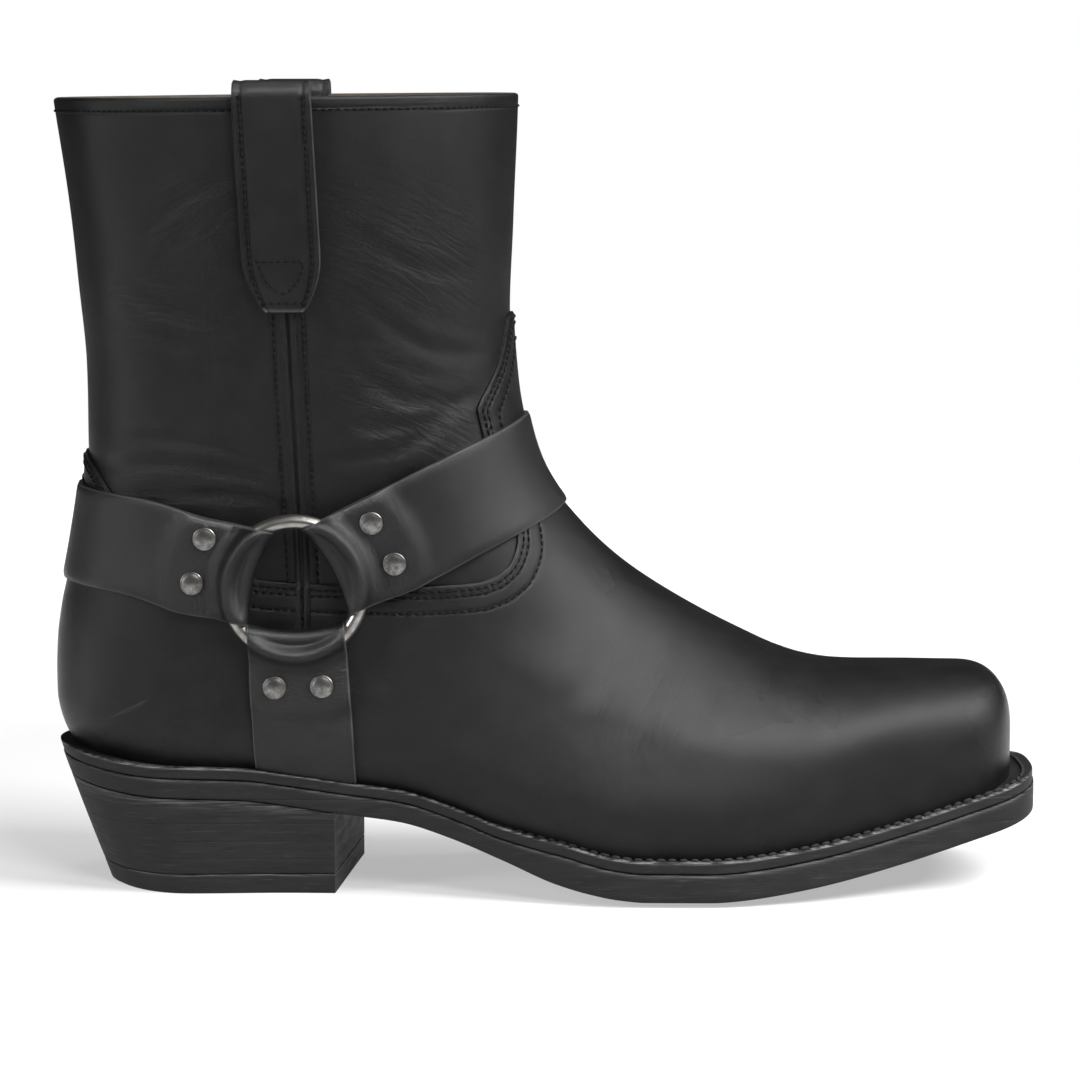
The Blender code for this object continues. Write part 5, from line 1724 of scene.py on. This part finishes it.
# %% Welt, outsole and heel
BACK_END, FRONT_END = HEEL_EDGE, HEEL_EDGE + LENGTH


def waist_rake(x):
    return HEEL_SIDE_RAKE * (1 - float(ease((x - BREAST / 3) / (BREAST * 2 / 3))))


def heel_rake(x):
    return HEEL_SIDE_RAKE


def full_half(x, side):
    return sole_half(x, side, BACK_END, FRONT_END, 0)


welt_back, welt_front = BACK_END + WELT_INSET, FRONT_END - WELT_INSET
welt = loft("trimmed_welt", sole_top, lambda x: sole_top(x) - WELT,
            stations(welt_back, welt_front, 0, RIBS),
            lambda x, side: sole_half(x, side, welt_back, welt_front, WELT_INSET), waist_rake, 0.0005,
            welt_leather, wear=1.0)
settle(welt, "sole_leather", "welt")
outsole = loft("trimmed_outsole", lambda x: sole_top(x) - WELT - GAP, sole_bottom,
               stations(BACK_END, FRONT_END, 0, RIBS), full_half, waist_rake, 0.0006, outsole_rubber,
               crown=CROWN, wear=0.25)
settle(outsole, "black_rubber", "outsole")
heel_places = stations(BACK_END, FRONT_END, 0, RIBS, BREAST)
heel_stack = loft("stacked_heel", lambda x: sole_bottom(x) - GAP, lambda x: TOP_LIFT + GAP + 0 * x,
                  heel_places, full_half, heel_rake, 0.0003, stack_leather, skew=BREAST_SKEW, wear=0.3)
settle(heel_stack, "sole_leather", "heel_stack")
top_lift = loft("top_lift", lambda x: TOP_LIFT + 0 * x, lambda x: 0 * x, heel_places, full_half,
                heel_rake, 0.0004, outsole_rubber, skew=BREAST_SKEW, wear=0.3)
settle(top_lift, "black_rubber", "heel_top_lift")

# %% [markdown]
# Inside, a thin insole lies on the welt. It is lofted like the sole, a little narrower than the
# upper's foot. On the welt, a coarse row of stitches runs round the forefoot.

# %% Insole and welt stitches
inside_back = float(back_at(0.0)[0]) + WALL + INSOLE_FIT
inside_front = TOE_FRONT - WALL - INSOLE_FIT


def insole_half(x, side):
    inset = float(ledge_share(along(x))) * BALL_WIDTH + WALL + INSOLE_FIT
    half = float(sole_half(x, side, inside_back, inside_front, 0))
    return max(half * (1 - inset / (float(outer_share(along(x))) * BALL_WIDTH)), 0.0002)


insole = loft("sock", lambda x: sole_top(x) + SEAT_GAP + INSOLE, lambda x: sole_top(x) + SEAT_GAP,
              stations(inside_back, inside_front, 0, 160), insole_half, lambda x: 0.0, 0.0006, lining_leather)
settle(insole, "insole_leather", "insole")

WELT_ROW = 0.0030


def welt_row(inset, lift):
    """A line on the welt's upper face, round the toe from the heel's breast to the breast."""
    halves = []
    for side in (-1, 1):
        turn = np.linspace(0, math.pi / 2, 900)
        x = mix(BREAST - 0.008, welt_front - inset, np.sin(turn))
        y = side * sole_half(x, side, welt_back + inset, welt_front - inset, WELT_INSET + inset)
        halves.append(np.stack([x, y, sole_top(x) + lift], axis=1))
    line = np.concatenate([halves[0], halves[1][-2::-1]])
    line = resample(line, 600)
    return line, np.broadcast_to(np.array([0, 0, 1.0]), line.shape)


settle(stitch("welt_stitches", [welt_row(WELT_ROW, 0.00025)], welt_thread, 0.0034, 0.0029, 0.0013, 0.15),
       "sole_leather")

# %% [markdown]
# The stage is a pale floor that glows more the further it is from the boot, so it runs into the
# white background without a line. Four soft lights stand round the boot: one overhead, one at the
# left for the back of the boot, a strong one at the right for toe, instep and shaft, and one in
# front of it. The camera stands level with the collar and looks slightly down.


# %% Floor and light
def soft_light(name, location, aim, size, power):
    light = bpy.data.lights.new(name, "AREA")
    light.shape = "RECTANGLE"
    light.size, light.size_y = size
    light.energy = power
    lamp = bpy.data.objects.new(name, light)
    lamp.location = location
    lamp.rotation_euler = (Vector(aim) - Vector(location)).to_track_quat("-Z", "Y").to_euler()
    bpy.context.scene.collection.objects.link(lamp)


def build_floor():
    mesh = bpy.data.meshes.new("floor")
    left, right, near, far = -0.45, 0.65, -0.42, 1.2
    mesh.from_pydata([(left, near, 0), (right, near, 0), (right, far, 0), (left, far, 0)], [],
                     [(0, 1, 2, 3)])
    material, tree, shader = new_material("floor_white")
    spot = tree.nodes.new("ShaderNodeTexCoord").outputs["Object"]
    tree.links.new(blend_colour(tree, noise(tree, spot, 3.0), (0.30, 0.30, 0.30), (0.31, 0.31, 0.31)),
                   shader.inputs["Base Color"])
    away = node(tree, "ShaderNodeVectorMath", {0: spot, 1: (0.1, 0.0, 0.0)}, operation="DISTANCE")
    tree.links.new(ramp(tree, away.outputs["Value"], 0.30, 0.90, 0.45, 1.0),
                   shader.inputs["Emission Strength"])
    shader.inputs["Emission Color"].default_value = (1, 1, 1, 1)
    shader.inputs["Roughness"].default_value = 0.9
    shader.inputs["Specular IOR Level"].default_value = 0.1
    mesh.materials.append(material)
    floor = bpy.data.objects.new("floor", mesh)
    bpy.context.scene.collection.objects.link(floor)


def build_world():
    world = bpy.data.worlds.new("studio")
    world.use_nodes = True
    bpy.context.scene.world = world
    tree = world.node_tree
    seen = tree.nodes["Background"]
    seen.inputs["Color"].default_value = (1, 1, 1, 1)
    seen.inputs["Strength"].default_value = 1.0
    felt = node(tree, "ShaderNodeBackground", {"Color": (1, 1, 1, 1), "Strength": 0.05})
    path = tree.nodes.new("ShaderNodeLightPath")
    both = tree.nodes.new("ShaderNodeMixShader")
    tree.links.new(path.outputs["Is Camera Ray"], both.inputs[0])
    tree.links.new(felt.outputs[0], both.inputs[1])
    tree.links.new(seen.outputs[0], both.inputs[2])
    tree.links.new(both.outputs[0], tree.nodes["World Output"].inputs["Surface"])


build_floor()
build_world()
middle_of_boot = (0.10, 0.0, 0.11)
soft_light("overhead", (0.20, 0.10, 1.50), middle_of_boot, (0.9, 0.7), 11.0)
soft_light("left", (-1.40, -0.90, 0.60), middle_of_boot, (0.45, 0.9), 22.0)
soft_light("right", (1.25, -0.45, 1.15), middle_of_boot, (0.7, 0.7), 64.0)
soft_light("right front", (0.70, -1.30, 1.30), middle_of_boot, (0.6, 0.6), 28.0)

print("lights", len(bpy.data.lights))

# %% Camera
camera_data = bpy.data.cameras.new("camera")
camera_data.lens = 123.0
camera_data.sensor_width = 36.0
camera_data.clip_start = 0.05
camera = bpy.data.objects.new("camera", camera_data)
camera.location = (0.098, -1.140, 0.252)
camera.rotation_euler = (math.radians(90 - 7.335), 0, 0)
bpy.context.scene.collection.objects.link(camera)
bpy.context.scene.camera = camera
bpy.context.scene.view_settings.view_transform = "Standard"
print("camera at", tuple(round(value, 3) for value in camera.location), "lens", camera_data.lens)
